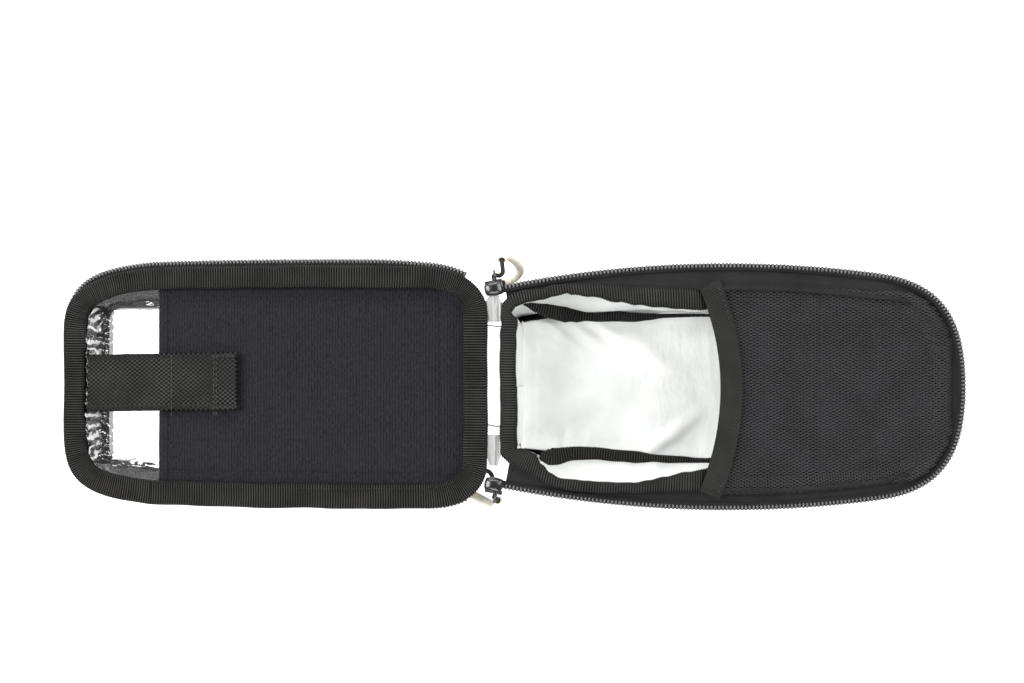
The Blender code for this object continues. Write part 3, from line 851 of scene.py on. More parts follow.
class TankBagSizes(bpy.types.PropertyGroup):
    """Sizes that a maker of the bag would change."""

    rib_pitch: FloatProperty(
        name="Rib pitch", description="Distance between the ribs of the grosgrain",
        default=0.00104, min=0.0006, max=0.003, precision=5, unit="LENGTH")
    rib_height: FloatProperty(
        name="Rib height", description="Half the height of a grosgrain rib",
        default=0.00018, min=0.0, max=0.0004, precision=5, unit="LENGTH")
    tooth_pitch: FloatProperty(
        name="Tooth pitch", description="Distance between teeth on one half of the zip",
        default=0.00151, min=0.001, max=0.004, precision=5, unit="LENGTH")
    mesh_length: FloatProperty(
        name="Mesh hole length", description="Length of one hole of the net",
        default=0.0026, min=0.0015, max=0.006, precision=5, unit="LENGTH")
    mesh_width: FloatProperty(
        name="Mesh hole width", description="Width of one hole of the net",
        default=0.0013, min=0.0008, max=0.004, precision=5, unit="LENGTH")
    stitch_pitch: FloatProperty(
        name="Stitch pitch", description="Distance between two stitches",
        default=0.0031, min=0.0015, max=0.006, precision=5, unit="LENGTH")
    lining_wrinkle: FloatProperty(
        name="Lining wrinkle", description="Height of the lining's soft folds",
        default=0.0012, min=0.0, max=0.003, precision=5, unit="LENGTH")
    film_wrinkle: FloatProperty(
        name="Film wrinkle", description="Height of the creases along the window's edge",
        default=0.00075, min=0.0, max=0.002, precision=5, unit="LENGTH")
    cord_sides: IntProperty(
        name="Cord roundness", description="Steps in a quarter of a cord's section",
        default=4, min=1, max=8)


class TankBagColours(bpy.types.PropertyGroup):
    """Base colours of the bag's finishes."""

    grosgrain: FloatVectorProperty(
        name="Grosgrain", description="Bindings and band", subtype="COLOR",
        default=(0.0140, 0.0138, 0.0132), min=0, max=1)
    fabric: FloatVectorProperty(
        name="Outer fabric", description="Walls, lid, zip tape and backing",
        subtype="COLOR", default=(0.012, 0.012, 0.0125), min=0, max=1)
    velour: FloatVectorProperty(
        name="Velour", description="Phone pocket in the lid",
        subtype="COLOR", default=(0.0066, 0.0065, 0.0077), min=0, max=1)
    mesh: FloatVectorProperty(
        name="Mesh", description="Net of the small pocket", subtype="COLOR",
        default=(0.021, 0.021, 0.023), min=0, max=1)
    webbing: FloatVectorProperty(
        name="Webbing", description="Phone strap and thread", subtype="COLOR",
        default=(0.0125, 0.0123, 0.0118), min=0, max=1)
    # Lighter than black nylon: partly a painted highlight on each tooth.
    teeth: FloatVectorProperty(
        name="Teeth", description="Nylon teeth of the zips", subtype="COLOR",
        default=(0.075, 0.075, 0.075), min=0, max=1)
    satin: FloatVectorProperty(
        name="Satin", description="Pale lining and hinge tabs", subtype="COLOR",
        default=(0.80, 0.815, 0.80), min=0, max=1)
    sleeve: FloatVectorProperty(
        name="Sleeve", description="Soft sleeves on the pull cords",
        subtype="COLOR", default=(0.80, 0.745, 0.63), min=0, max=1)


def sizes_of(context):
    """The bag's sizes."""
    return context.scene.tank_bag_sizes


# ---------------------------------------------------------------- operators

class TANKBAG_OT_finishes(bpy.types.Operator):
    """Make every material of the bag"""

    bl_idname = "tankbag.finishes"
    bl_label = "Finishes"

    def execute(self, context):
        LOOKS.clear()
        LOOKS.update(make_finishes(context.scene.tank_bag_colours, sizes_of(context)))
        return {"FINISHED"}


class TANKBAG_OT_stage(bpy.types.Operator):
    """Put the camera straight above, with a pale floor and soft lights"""

    bl_idname = "tankbag.stage"
    bl_label = "Stage and camera"

    def execute(self, context):
        scene = context.scene
        lens = bpy.data.cameras.new("camera")
        lens.lens = CAMERA_LENS
        lens.sensor_width = 36
        lens.clip_end = 20
        camera = bpy.data.objects.new("camera", lens)
        camera.location = (HINGE.x * MM + CAMERA_SHIFT, CAMERA_SIDE, CAMERA_HEIGHT)
        scene.collection.objects.link(camera)
        scene.camera = camera

        bm = bmesh.new()
        bmesh.ops.create_grid(bm, x_segments=8, y_segments=8, size=2500)
        bmesh.ops.translate(bm, verts=bm.verts, vec=(0, 0, -0.4))
        floor = finish_piece("floor", bm, LOOKS["floor"], Matrix.Identity(4), None,
                             closed=False)

        world = bpy.data.worlds.new("studio")
        world.use_nodes = True
        sky = world.node_tree.nodes["Background"]
        sky.inputs["Color"].default_value = (1.0, 1.0, 1.0, 1)
        sky.inputs["Strength"].default_value = 0.30
        scene.world = world
        scene.view_settings.view_transform = "Standard"

        middle = Vector((-0.09, 0.0, 0.02))
        for name, spot, size, power in LAMPS:
            data = bpy.data.lights.new(name, "AREA")
            data.shape = "RECTANGLE"
            data.size = size[0]
            data.size_y = size[1]
            data.energy = power
            light = bpy.data.objects.new(name, data)
            light.location = spot
            aim = (middle - light.location).to_track_quat("-Z", "Y")
            light.rotation_euler = aim.to_euler()
            scene.collection.objects.link(light)
        return {"FINISHED"}


def eye_place(side):
    """The middle of a slider's eye, turned along the zip."""
    spot = side_point(EYE_DISTANCE)
    along = side_tangent(EYE_DISTANCE)
    place = ON_BODY @ Matrix.Translation((spot.x, side * spot.y, ZIP_HEIGHT))
    place = place @ Matrix.Rotation(math.atan2(along.y * side, along.x), 4, "Z")
    return place @ Matrix.Translation((0, side * 4.6, 0))


class TANKBAG_OT_pulls(bpy.types.Operator):
    """Make the two cord pulls with their soft sleeves"""

    bl_idname = "tankbag.pulls"
    bl_label = "Cord pulls"

    def execute(self, context):
        for name, side, route, cover in (("left", 1, LEFT_ROUTE, (0.28, 0.76)),
                                         ("right", -1, RIGHT_ROUTE, (0.09, 0.50))):
            eye = eye_place(side)
            points = [(x, side * y, z) for x, y, z in route]
            path = [eye @ point for point in smooth_route(points, 8)]
            sleeve = self.sleeve(name, path, cover)
            curve = bpy.data.curves.new("cord_" + name, "CURVE")
            curve.dimensions = "3D"
            curve.bevel_depth = CORD_RADIUS * MM
            curve.bevel_resolution = sizes_of(context).cord_sides
            curve.use_fill_caps = True
            spline = curve.splines.new("POLY")
            spline.points.add(len(path) - 1)
            for point, spot in zip(spline.points, path):
                point.co = (*(spot * MM), 1)
            curve.materials.append(LOOKS["cord"])
            cord = bpy.data.objects.new("cord_" + name, curve)
            context.scene.collection.objects.link(cord)
            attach(cord, "pull_" + name)
            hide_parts("pull_cord_" + name)
            measured = sum((b - a).length for a, b in zip(path, path[1:])) * MM
        return {"FINISHED"}

    def sleeve(self, name, path, cover):
        """A hollow sleeve over part of the cord, its ends cut square."""
        first, last = (round(share * (len(path) - 1)) for share in cover)
        spine = path[first:last + 1]
        frames = travel_frames(spine)
        count = len(spine)
        order = list(range(count)) + list(range(count - 1, -1, -1))
        radii = [1.85] * count + [1.2] * count
        radii[0] = radii[count - 1] = 1.72
        sides = 18

        def place(i, j):
            k = order[i % len(order)]
            radius = radii[i % len(order)]
            angle = TURN * j / sides
            across, up = frames[k]
            point = spine[k] + (across * math.cos(angle) + up * math.sin(angle)) * radius
            return point, (i, j)

        bm = laid_grid(len(order), sides, place)
        weld(bm)
        return finish_piece("sleeve_" + name, bm, LOOKS["sleeve"], Matrix.Identity(4),
                            "pull_" + name, ["pull_sleeve_" + name])


class TANKBAG_OT_shell(bpy.types.Operator):
    """Make the base, the padding and the outer wall of the body"""

    bl_idname = "tankbag.shell"
    bl_label = "Body shell"

    def execute(self, context):
        rim = rim_edge()
        foot = moved_in(rim, 1 + WALL_LEAN, closed=True)

        def soft_wall(outer, inner, low, high, bulge):
            """Section of a leaning, slightly swollen wall: its outside up, its inside down."""
            up = [k / 9 for k in range(10)]
            pairs = []
            for inset, heights in ((outer, up), (inner, up[::-1])):
                for t in heights:
                    lean = WALL_LEAN * (1 - t)
                    swell = bulge * math.sin(math.pi * t)
                    pairs.append((inset + lean - swell, low + (high - low) * t))
            return pairs

        def uneven(s, j, spot, inset, height):
            middle = 1 - abs(height - 24) / 24
            inset += 0.8 * middle * wobble(spot.x, spot.y + height * 0.7, 21)
            return lying(spot, inset, height), height

        def follow(s, j, spot, inset, height):
            return lying(spot, inset, height), height

        bm = swept(rim, True, soft_wall(1.0, 2.4, 2.8, 44.2, 0.8), step=1.6, shape=uneven)
        piece = finish_piece("outer_wall", bm, LOOKS["outer_fabric"], ON_BODY, "body",
                             ["side_band"])
        bm = swept(rim, True, soft_wall(2.9, 5.0, 8.1, 44.0, 0.4), step=2, shape=follow)
        piece = finish_piece("wall_padding", bm, LOOKS["foam"], ON_BODY, "body",
                             ["wall_foam"])

        profile = rounded_strip(4.2, 0.2, 3.6, 1.1, 4)
        pitch = sizes_of(context).rib_pitch / MM
        bm = swept(moved_in(rim, 0.7 + WALL_LEAN, True), True, profile, step=pitch / 4,
                   shape=ribbed(profile, pitch, 0.08, 0.15, 8))
        finish_piece("base_binding", bm, LOOKS["grosgrain"], ON_BODY, "body")

        low = min(point.x for point in foot)
        high = max(point.x for point in foot)

        def underside(x, y):
            return 1.4 - 0.25 * wobble(x, y, 24)

        bm = spread_panel(foot, low, high, 90, 40, underside)
        piece = finish_piece("base_cloth", bm, LOOKS["outer_fabric"], ON_BODY, "body",
                             ["base_panel"], closed=False, thick=1.6)

        pad = bmesh.new()
        pad.from_mesh(frame["nodes"]["base_foam"].data)
        bmesh.ops.remove_doubles(pad, verts=pad.verts, dist=1e-6)
        bmesh.ops.scale(pad, verts=pad.verts, vec=(1 / MM,) * 3)
        sharp = [edge for edge in pad.edges if edge.calc_face_angle(0) > 0.7]
        bmesh.ops.bevel(pad, geom=sharp, offset=0.35, segments=2, affect="EDGES",
                        profile=0.5, material=-1)
        piece = finish_piece("base_padding", pad, LOOKS["foam"], Matrix.Identity(4), "body",
                             ["base_foam"])

        for name, node in frame["nodes"].items():
            look = "board" if name == "stiffener_board" else name.split("_")[0]
            if look in ("board", "magnet"):
                node.data.materials.clear()
                node.data.materials.append(LOOKS[look])
        return {"FINISHED"}


class TANKBAG_OT_lining(bpy.types.Operator):
    """Make the pale satin lining with its soft folds"""

    bl_idname = "tankbag.lining"
    bl_label = "Satin lining"

    def execute(self, context):
        height = sizes_of(context).lining_wrinkle / MM
        rim = rim_edge()

        folds = [  # start, end, width and height of a soft fold in the floor
            ((9, 31), (30, 20), 2.4, 3.0), ((10, 22), (20, 6), 2.6, 1.8),
            ((22, 26), (40, 10), 2.2, 1.4), ((30, 26), (50, 12), 2.4, 1.6),
            ((40, 27), (58, 15), 2.2, 1.2), ((10, -22), (20, -4), 2.8, 1.2),
            ((28, -27), (31, -16), 1.8, 1.8), ((36, -28), (40, -17), 1.6, 1.5),
            ((62, -28), (88, -10), 3.0, 2.0), ((50, 22), (84, -2), 5.0, 1.8),
        ]

        def fold_height(x, y):
            total = 0.0
            for (ax, ay), (bx, by), width, tall in folds:
                dx, dy = bx - ax, by - ay
                length2 = dx * dx + dy * dy
                t = ((x - ax) * dx + (y - ay) * dy) / length2
                if -0.1 < t < 1.1:
                    off = abs((x - ax) * dy - (y - ay) * dx) / math.sqrt(length2)
                    fade = ease(-0.1, 0.15, t) * (1 - ease(0.35, 1.1, t))
                    total += tall * fade * math.exp(-(off / width) ** 2)
            return total

        floor_edge = moved_in(rim, 9.2, closed=True)
        low = min(point.x for point in floor_edge)
        high = max(point.x for point in floor_edge)

        def floor_level(x, y):
            edge = half_width(floor_edge, min(max(x, low + 0.05), high - 0.05))
            rise = 3.0 * ease(0.72, 1.0, abs(y) / max(edge, 1)) ** 1.5
            rise += 7.0 * (1 - ease(low, low + 8, x)) ** 1.5
            soft = height * (0.75 * wobble(x, y, 26, 3) + 0.35 * wobble(x, y, 11, 4))
            return 9.3 + rise + max(soft, -0.9) + fold_height(x, y)

        bm = spread_panel(floor_edge, low, high, 190, 90, floor_level)
        piece = finish_piece("floor_lining", bm, LOOKS["satin_lining"], ON_BODY, "body",
                             ["lining_floor"], closed=False, thick=0.5)

        rows = 14
        pairs = [(5.7 + 3.8 * ((rows - k) / rows) ** 1.3, 8.9 + 35.4 * k / rows)
                 for k in range(rows, -1, -1)]

        def pucker(s, j, spot, inset, level):
            t = (level - 8.9) / 35.4
            side = 1 if spot.y > 0 else -1
            bulge = 1.2 * math.sin(math.pi * t)
            crease = height * (wobble(s, level * 0.5, 9, 6) * (0.5 + 0.8 * (1 - t))
                               + 0.5 * wobble(s, level, 22, side))
            inset += bulge + crease * math.sin(math.pi * min(t * 1.05, 1))
            corner = (1 - ease(22, 42, spot.x)) * ease(20, 30, abs(spot.y))
            inset -= 3.0 * corner * max(1 - t, 0) ** 0.5
            return lying(spot, inset, level), level

        bm = swept(rim, True, pairs, step=0.9, ring=False, shape=pucker)
        bmesh.ops.recalc_face_normals(bm, faces=bm.faces)
        piece = finish_piece("wall_lining", bm, LOOKS["satin_lining"], ON_BODY, "body",
                             ["lining_wall"], thick=0.5)
        self.seams(context)
        return {"FINISHED"}

    def seams(self, context):
        """Bindings over the seams where the wall lining meets the floor's."""
        pitch = sizes_of(context).rib_pitch / MM
        left = [(12.2, 33.0, 1.6), (17.6, 32.0, 5.2), (22.5, 30.9, 7.6), (29.6, 29.9, 8.8),
                (33.8, 28.7, 6.0), (38.3, 28.2, 4.0), (43.7, 27.7, 3.8), (49.8, 28.0, 4.3),
                (57.2, 27.6, 3.9), (63.4, 27.9, 2.9), (70.0, 28.3, 1.7), (88.9, 28.5, 1.2),
                (128.0, 27.2, 1.2)]
        right = [(18.6, 28.2, 2.4), (21.5, 29.0, 6.6), (23.7, 29.4, 7.8), (27.5, 29.3, 7.3),
                 (32.1, 28.4, 6.1), (38.3, 28.4, 6.2), (43.7, 28.8, 6.5), (51.1, 30.1, 7.0),
                 (57.2, 30.3, 6.5), (66.7, 31.1, 5.2), (76.2, 31.4, 4.7), (88.8, 31.8, 3.8),
                 (128.0, 28.6, 3.0)]
        for name, spots, side in (("left", left, 1), ("right", right, -1)):
            route = smooth_route([(x, side * y, 0) for x, y, _ in spots], 12)
            line = [Vector((p.x, p.y)) for p in route]
            widths = [(x, wide) for x, _, wide in spots]
            if side < 0:
                line.reverse()
            profile = rounded_strip(5.0, 12.6, 15.4, 0.9, 4)
            profile = [(inset - 2.5, level + 1.0 - 0.28 * abs(inset - 2.5))
                       for inset, level in profile]
            base = ribbed(profile, pitch, 0.12, 0.3, 11 + side)

            def shape(s, j, spot, inset, level, rule=base, sign=side, table=widths):
                inset, level = rule(s, j, spot, inset, level)
                near = 1 - ease(10, 40, spot.x)
                widen = between(table, spot.x)[0] / 5.0
                lift = 22.0 * near ** 1.5 + 0.9 * wobble(spot.x, 0, 13, sign)
                groove = 0.8 * math.exp(-(inset / 0.5) ** 2) * (level > 13.6) * (sign < 0)
                crumple = 1.6 * near * wobble(spot.x, inset * 1.5, 3.5, sign + 4)
                return inset * widen, level + lift - groove + crumple * (level > 13.6)

            bm = swept(line, False, profile, step=pitch / 4, shape=shape)
            piece = finish_piece("seam_tape_" + name, bm, LOOKS["grosgrain"], ON_BODY,
                                 "body", ["seam_binding_" + name])


class TANKBAG_OT_rim(bpy.types.Operator):
    """Make the grosgrain binding round the mouth of the body"""

    bl_idname = "tankbag.rim"
    bl_label = "Rim binding"

    def execute(self, context):
        pitch = sizes_of(context).rib_pitch / MM
        height = sizes_of(context).rib_height / MM
        rim = rim_edge()
        profile = rounded_strip(RIM_WIDTH, RIM_BOTTOM, RIM_TOP, 1.8, 4)
        base = ribbed(profile, pitch, height, 0.45, 2)

        def shape(s, j, spot, inset, level):
            inset, level = base(s, j, spot, inset, level)
            under = ease(POCKET_START - 4, POCKET_START + 6, spot.x)
            level = level - under * POCKET_DROP * ease(RIM_BOTTOM, RIM_TOP, level)
            crumple = 0.35 + math.exp(-((spot.x - 6) / 6) ** 2) * ease(16, 28, abs(spot.y))
            inset = lying(spot, inset, RIM_TOP) + 0.8 * crumple * wobble(s, 0, 4.5, 3)
            fold = 0.9 * wobble(s, inset, 13, 17) * ease(1.0, 3.0, inset)
            return inset, level + (fold - 0.6 * crumple) * (level > RIM_TOP - 1.5)

        bm = swept(rim, True, profile, step=pitch / 4, shape=shape)
        piece = finish_piece("mouth_binding", bm, LOOKS["grosgrain"], ON_BODY, "body",
                             ["rim_binding"])
        return {"FINISHED"}


def tooth():
    """A single coil tooth: a short leg, and a rounded top that catches the light."""
    bm = bmesh.new()
    bmesh.ops.create_cube(bm, size=1)
    bmesh.ops.scale(bm, verts=bm.verts, vec=(0.98, 2.1, 1.3))
    bmesh.ops.translate(bm, verts=bm.verts, vec=(0, -0.6, 0))
    bmesh.ops.bevel(bm, geom=bm.edges[:], offset=0.2, segments=1, affect="EDGES",
                    profile=0.5, material=-1)
    top = bmesh.ops.create_uvsphere(bm, u_segments=8, v_segments=5, radius=1)["verts"]
    bmesh.ops.scale(bm, verts=top, vec=(0.56, 0.80, 0.95))
    bmesh.ops.translate(bm, verts=top, vec=(0, -0.95, 0.3))
    return bm


class TANKBAG_OT_zips(bpy.types.Operator):
    """Make the tape and the coil teeth of both halves of the zip"""

    bl_idname = "tankbag.zips"
    bl_label = "Zips"

    def execute(self, context):
        pitch = sizes_of(context).tooth_pitch / MM
        edge = zip_edge(CHAIN_START)
        bm = repeated(tooth(), row_places(edge, False, pitch, ZIP_HEIGHT))
        finish_piece("body_teeth", bm, LOOKS["zip_teeth"], ON_BODY, "body",
                     ["zip_teeth"])
        bm = swept(moved_in(edge, -0.05, False), False,
                   rounded_strip(2.85, ZIP_HEIGHT - 0.5, ZIP_HEIGHT + 0.5, 0.4, 3), step=0.75)
        finish_piece("body_tooth_cord", bm, LOOKS["backing"], ON_BODY, "body")

        rows = [0.9, 1.6, 2.4, 3.2, 4.0, 4.8, 5.6, 6.6, 7.6, 8.0]
        pairs = [(inset, ZIP_HEIGHT - 1.0) for inset in rows]
        rims = {1: rim_edge()}
        rims[-1] = [Vector((p.x, -p.y)) for p in rims[1]]

        def tape_shape(s, j, spot, inset, level):
            pocket = ease(POCKET_START - 2, POCKET_START + 8, spot.x)
            share = (inset - 0.9) / 6.7
            far = ease(164, 176, spot.x)
            lift = (1.1 + pocket * 2.2) * ease(0.55, 1.0, share) - far * 3.0 * share
            lift -= pocket * (1 - far) * 3.6 * ease(1.0, 1.04, share)
            outer = between(LEFT_LIE if spot.y > 0 else RIGHT_LIE, spot.x)[0]
            inset += outer * share
            if spot.x < CORNER_END:
                rim = rims[1 if spot.y > 0 else -1]
                reach = abs(spot.y) + 0.8 - half_width(rim, max(spot.x, FRONT + 0.4))
                inset = 0.9 + (reach + outer - 0.9) * share
            return inset, level + lift + 0.25 * wobble(spot.x, spot.y, 12, 7) * share

        bm = swept(zip_edge(TAPE_START), False, pairs, step=1.0, ring=False,
                   shape=tape_shape)
        finish_piece("body_zip_tape", bm, LOOKS["zip_tape"], ON_BODY, "body",
                     ["zip_tape"], closed=False, thick=0.6)
        self.lid_half(pitch)
        return {"FINISHED"}

    def lid_half(self, pitch):
        """The lid's half, folded under its binding and showing on the left."""
        outline = [p + Vector((0, 1.4 * ease(14, 50, -p.x))) for p in lid_edge()
                   if p.x < -12]
        top = LID_TOP - 3.4
        places = row_places(moved_in(outline, -0.2, False), False, pitch, top - 0.3)
        bm = repeated(tooth(), places)
        finish_piece("lid_teeth", bm, LOOKS["zip_teeth"], ON_LID, "lid",
                     ["lid_zip_teeth"])
        pairs = [(inset, top - 0.3) for inset in (-0.1, 2.4, 3.8, 5.2, 6.5)]
        bm = swept(outline, False, pairs, step=1.2, ring=False)
        finish_piece("lid_tape", bm, LOOKS["zip_tape"], ON_LID, "lid",
                     ["lid_zip_tape"], closed=False, thick=0.55)


class TANKBAG_OT_pocket(bpy.types.Operator):
    """Make the net pocket, its backing and its elastic band"""

    bl_idname = "tankbag.pocket"
    bl_label = "Mesh pocket"

    def execute(self, context):
        sizes = sizes_of(context)
        rim = rim_edge()
        cover = moved_in(rim, -2.4, closed=True)
        hold = moved_in(rim, RIM_WIDTH - 0.3, closed=True)
        high = max(point.x for point in hold)

        def bow(y, half):
            return POCKET_START + POCKET_BOW * (1 - (y / half) ** 2)

        start = POCKET_START + 2

        def backing_level(x, y):
            return BACKING_HEIGHT - 0.6 * ease(0, 1, 1 - abs(y) / 36) + 0.3 * wobble(x, y, 16, 9)

        widths = [(start + (high - start) * i / 70) for i in range(71)]
        halves = [half_width(hold, min(x, high - 0.01)) for x in widths]
        reach = halves[0]

        def backing_place(i, j):
            half = halves[i]
            y = half * (2 * j / 50 - 1)
            push = POCKET_BOW * (1 - (y / reach) ** 2) * (1 - i / 70)
            x = widths[i] + push
            return (x, y, backing_level(x, y)), (x, y)

        bm = laid_grid(70, 50, backing_place)
        weld(bm)
        piece = finish_piece("pocket_back_cloth", bm, LOOKS["backing"], ON_BODY, "body",
                             ["pocket_backing"], closed=False, thick=0.4)

        self.net(sizes, cover, bow)
        self.band(rim, bow)
        return {"FINISHED"}

    def net(self, sizes, cover, bow):
        """Diamond holes cut in a cloth, in a staggered pattern."""
        long_way = sizes.mesh_length / MM
        short_way = sizes.mesh_width / MM
        count = 104
        bm = bmesh.new()
        bmesh.ops.create_grid(bm, x_segments=count, y_segments=count, size=count / 2)
        bmesh.ops.rotate(bm, verts=bm.verts, cent=(0, 0, 0),
                         matrix=Matrix.Rotation(math.pi / 4, 3, "Z"))
        root = math.sqrt(2)
        bmesh.ops.scale(bm, verts=bm.verts, vec=(long_way / root, short_way / root, 1))
        middle = 134.0
        bmesh.ops.translate(bm, verts=bm.verts, vec=(middle, 0, 0))
        far = max(point.x for point in cover)
        table = [half_width(cover, POCKET_START + k) for k in
                 range(int(far - POCKET_START))]

        def inside(x, y):
            k = x - POCKET_START
            if k < 0 or k >= len(table) - 1.01:
                return False
            i = int(k)
            half = table[i] + (table[i + 1] - table[i]) * (k - i) - 2.4 * (1 - ease(150, 172, x))
            return -half < y < min(half, 38.4 - 0.03 * (x - 120)) and x > bow(y, 44) + 3

        outside = [face for face in bm.faces
                   if not inside(*face.calc_center_median().xy)]
        bmesh.ops.delete(bm, geom=outside, context="FACES")
        holes = bmesh.ops.inset_individual(bm, faces=bm.faces[:], thickness=0.20)
        cells = [face for face in bm.faces if face not in set(holes["faces"])]
        bmesh.ops.delete(bm, geom=cells, context="FACES_ONLY")
        flat = bm.loops.layers.uv.new("flat")
        for face in bm.faces:
            for loop in face.loops:
                loop[flat].uv = loop.vert.co.xy * MM
        for vert in bm.verts:
            x, y = vert.co.xy
            half = max(half_width(cover, min(x, far - 0.5)), 1)
            edge = ease(0.80, 1.0, abs(y) / half)
            fold = 0.9 * math.exp(-((x - 127 - 0.04 * y) / 2.2) ** 2)
            sag = 0.9 * (1 - edge) * ease(POCKET_START, 100, x)
            down = 1.2 * ease(far - 9, far - 2, x)
            vert.co.z = NET_HEIGHT + 0.2 * edge - sag - fold - down \
                + 0.45 * wobble(x, y, 15, 12) * (1 - edge)
        piece = finish_piece("pocket_net", bm, LOOKS["mesh_fabric"], ON_BODY, "body",
                             ["mesh_pocket"], closed=False, thick=0.24)

    def band(self, rim, bow):
        """Elastic band along the pocket's mouth, folded over the net."""
        half = half_width(rim, POCKET_START) - 1.2
        line = [Vector((bow(half * t, half), half * t - 0.6 - 1.4 * max(t, 0) ** 2))
                for t in [-1 + 2 * i / 60 for i in range(61)]]
        pairs = divided(rounded_strip(8.8, 48.35, 49.5, 0.45, 4), 6)

        def shape(s, j, spot, inset, level):
            middle = (1 - (spot.y / half) ** 2)
            level -= 0.7 * middle + 1.3 * (1 - ease(0.0, 0.12, middle))
            level += 0.18 * math.cos(TURN * inset / 2.2) * (inset > 0.4)
            return inset, level + 0.2 * wobble(spot.x, spot.y, 9, 14)

        bm = swept(line, False, pairs, step=0.8, shape=shape)
        piece = finish_piece("pocket_band", bm, LOOKS["band"], ON_BODY, "body",
                             ["mesh_pocket_band"])
        row = [p + Vector((7.6, 0)) for p in line]
        places = row_places(row, False, 2.4,
                            lambda x, y: 49.35 - 0.7 * (1 - (y / half) ** 2))
        stitches("band_stitches", places, 1.6, 0.17, LOOKS["thread"], ON_BODY, "body")


class TANKBAG_OT_hinge(bpy.types.Operator):
    """Make the two satin tabs and the loose threads between lid and body"""

    bl_idname = "tankbag.hinge"
    bl_label = "Hinge tabs"

    def execute(self, context):
        for name, near, far in (("left", 25.6, 37.6), ("right", -19.0, -31.0)):
            sign = 1 if near > 0 else -1

            def place(i, j, near=near, far=far, sign=sign):
                t = i / 40
                x = -3.4 + 7.2 * j / 30
                y = near + (far - near) * t
                narrow = 1 - 0.55 * ease(0.45, 1.0, t)
                x = 0.2 + (x - 0.2) * narrow
                arch = 1.3 * math.cos(math.pi * (x - 0.2) / 8.5)
                fold = 0.42 * math.sin(x * 2.4 + 0.8 * t) + 0.2 * math.sin(x * 4.7 + sign)
                z = 46.2 + arch + fold * (1 - 0.3 * t) + 0.3 * wobble(x * 2, y, 3, sign)
                return (x, y, z), (x * 1.1, y)

            bm = laid_grid(40, 30, place)
            tab = finish_piece("hinge_strip_" + name, bm, LOOKS["shaded_hinge_satin"], ON_BODY,
                               None, ["hinge_tab_" + name], closed=False,
                               thick=0.35)
            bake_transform(tab)

        for k, (y, bend) in enumerate(((23.9, 0.3), (-15.3, 0.6))):
            def thread(i, j, y=y, bend=bend):
                angle = TURN * j / 8
                x = -3.2 + 6.6 * i / 24
                wave = bend * math.sin(math.pi * i / 12)
                return (x, y + wave * 0.5 + 0.2 * math.cos(angle),
                        48.3 + wave + 0.2 * math.sin(angle)), (x, j)

            bm = laid_grid(24, 8, thread)
            weld(bm)
            ends = [edge for edge in bm.edges if edge.is_boundary]
            bmesh.ops.holes_fill(bm, edges=ends, sides=0)
            line = finish_piece("loose_thread_%d" % (k + 1), bm, LOOKS["cord"], ON_BODY,
                                None)
            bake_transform(line)
        return {"FINISHED"}


class TANKBAG_OT_lid(bpy.types.Operator):
    """Make the lid's panel with its window opening, its wall and its binding"""

    bl_idname = "tankbag.lid"
    bl_label = "Lid shell"

    def execute(self, context):
        sizes = sizes_of(context)
        pitch = sizes.rib_pitch / MM
        outline = lid_edge()
        dense = divided(rounded_strip(LID_BINDING, LID_TOP - 2.6, LID_TOP, 1.15, 4), 3)
        base = ribbed(dense, pitch, sizes.rib_height / MM, 0.5, 21)

        def shape(s, j, spot, inset, level):
            inset, level = base(s, j, spot, inset, level)
            dip = 0.9 * math.sin(math.pi * min(max(inset / LID_BINDING, 0), 1))
            roll = 0.6 + 0.9 * wobble(spot.x, spot.y, 24, 23)
            back = 1.0 * ease(30, 44, spot.y) * (1 - ease(0, 4, inset))
            back -= 1.0 * (spot.x < -170) * (1 - ease(13, 16, abs(spot.y))) * ease(6, 9, inset)
            return inset + back, level - dip * roll * (level > LID_TOP - 1.2)

        bm = swept(outline, True, dense, step=pitch / 4, shape=shape)
        piece = finish_piece("lid_rim", bm, LOOKS["grosgrain"], ON_LID, "lid",
                             ["lid_binding"])
        row = moved_in(outline, LID_BINDING - 1.5, True)
        places = row_places(row, True, sizes.stitch_pitch / MM, LID_TOP + 0.02)
        stitches("lid_rim_stitches", places, 1.9, 0.17, LOOKS["cord"], ON_LID, "lid")

        rows = 9
        pairs = [(3.2 + 3.4 * k / rows, -5.0 - 9.2 * k / rows) for k in range(rows + 1)]
        pairs += [(4.2 + 3.4 * k / rows, -5.2 - 8.8 * k / rows) for k in range(rows, -1, -1)]

        def sway(s, j, spot, inset, level):
            return inset + 0.5 * wobble(spot.x, spot.y + level, 16, 25), level

        bm = swept(outline, True, pairs, step=1.6, shape=sway)
        piece = finish_piece("lid_wall", bm, LOOKS["outer_fabric"], ON_LID, "lid",
                             ["lid_side_band"])

        edge, _ = evenly(moved_in(outline, 6.5, True), True, count=240)
        near, far, half, corner = WINDOW
        hole, _ = evenly(rounded_rectangle(-far, -near, half, corner, 12), True, count=240)
        middle = Vector((-(near + far) / 2, 0))

        def turned(points):
            """The same ring, begun at its point nearest to the -X, +Y corner."""
            spots = sorted(range(len(points)), key=lambda k: abs(
                math.atan2(points[k].y - middle.y, points[k].x - middle.x) - 2.6))
            first = spots[0]
            return points[first:] + points[:first]

        edge = turned(edge)
        hole = turned(hole)

        def place(i, j):
            a = edge[i % 240]
            b = hole[i % 240]
            t = j / 14
            spot = a.lerp(b, t)
            level = LID_FLOOR + 0.6 + 0.3 * wobble(spot.x, spot.y, 10, 27)
            return (spot.x, spot.y, level), (spot.x, spot.y)

        bm = laid_grid(240, 14, place)
        weld(bm)
        piece = finish_piece("lid_cloth", bm, LOOKS["outer_fabric"], ON_LID, "lid",
                             ["lid_panel"], closed=False, thick=1.1)
        return {"FINISHED"}


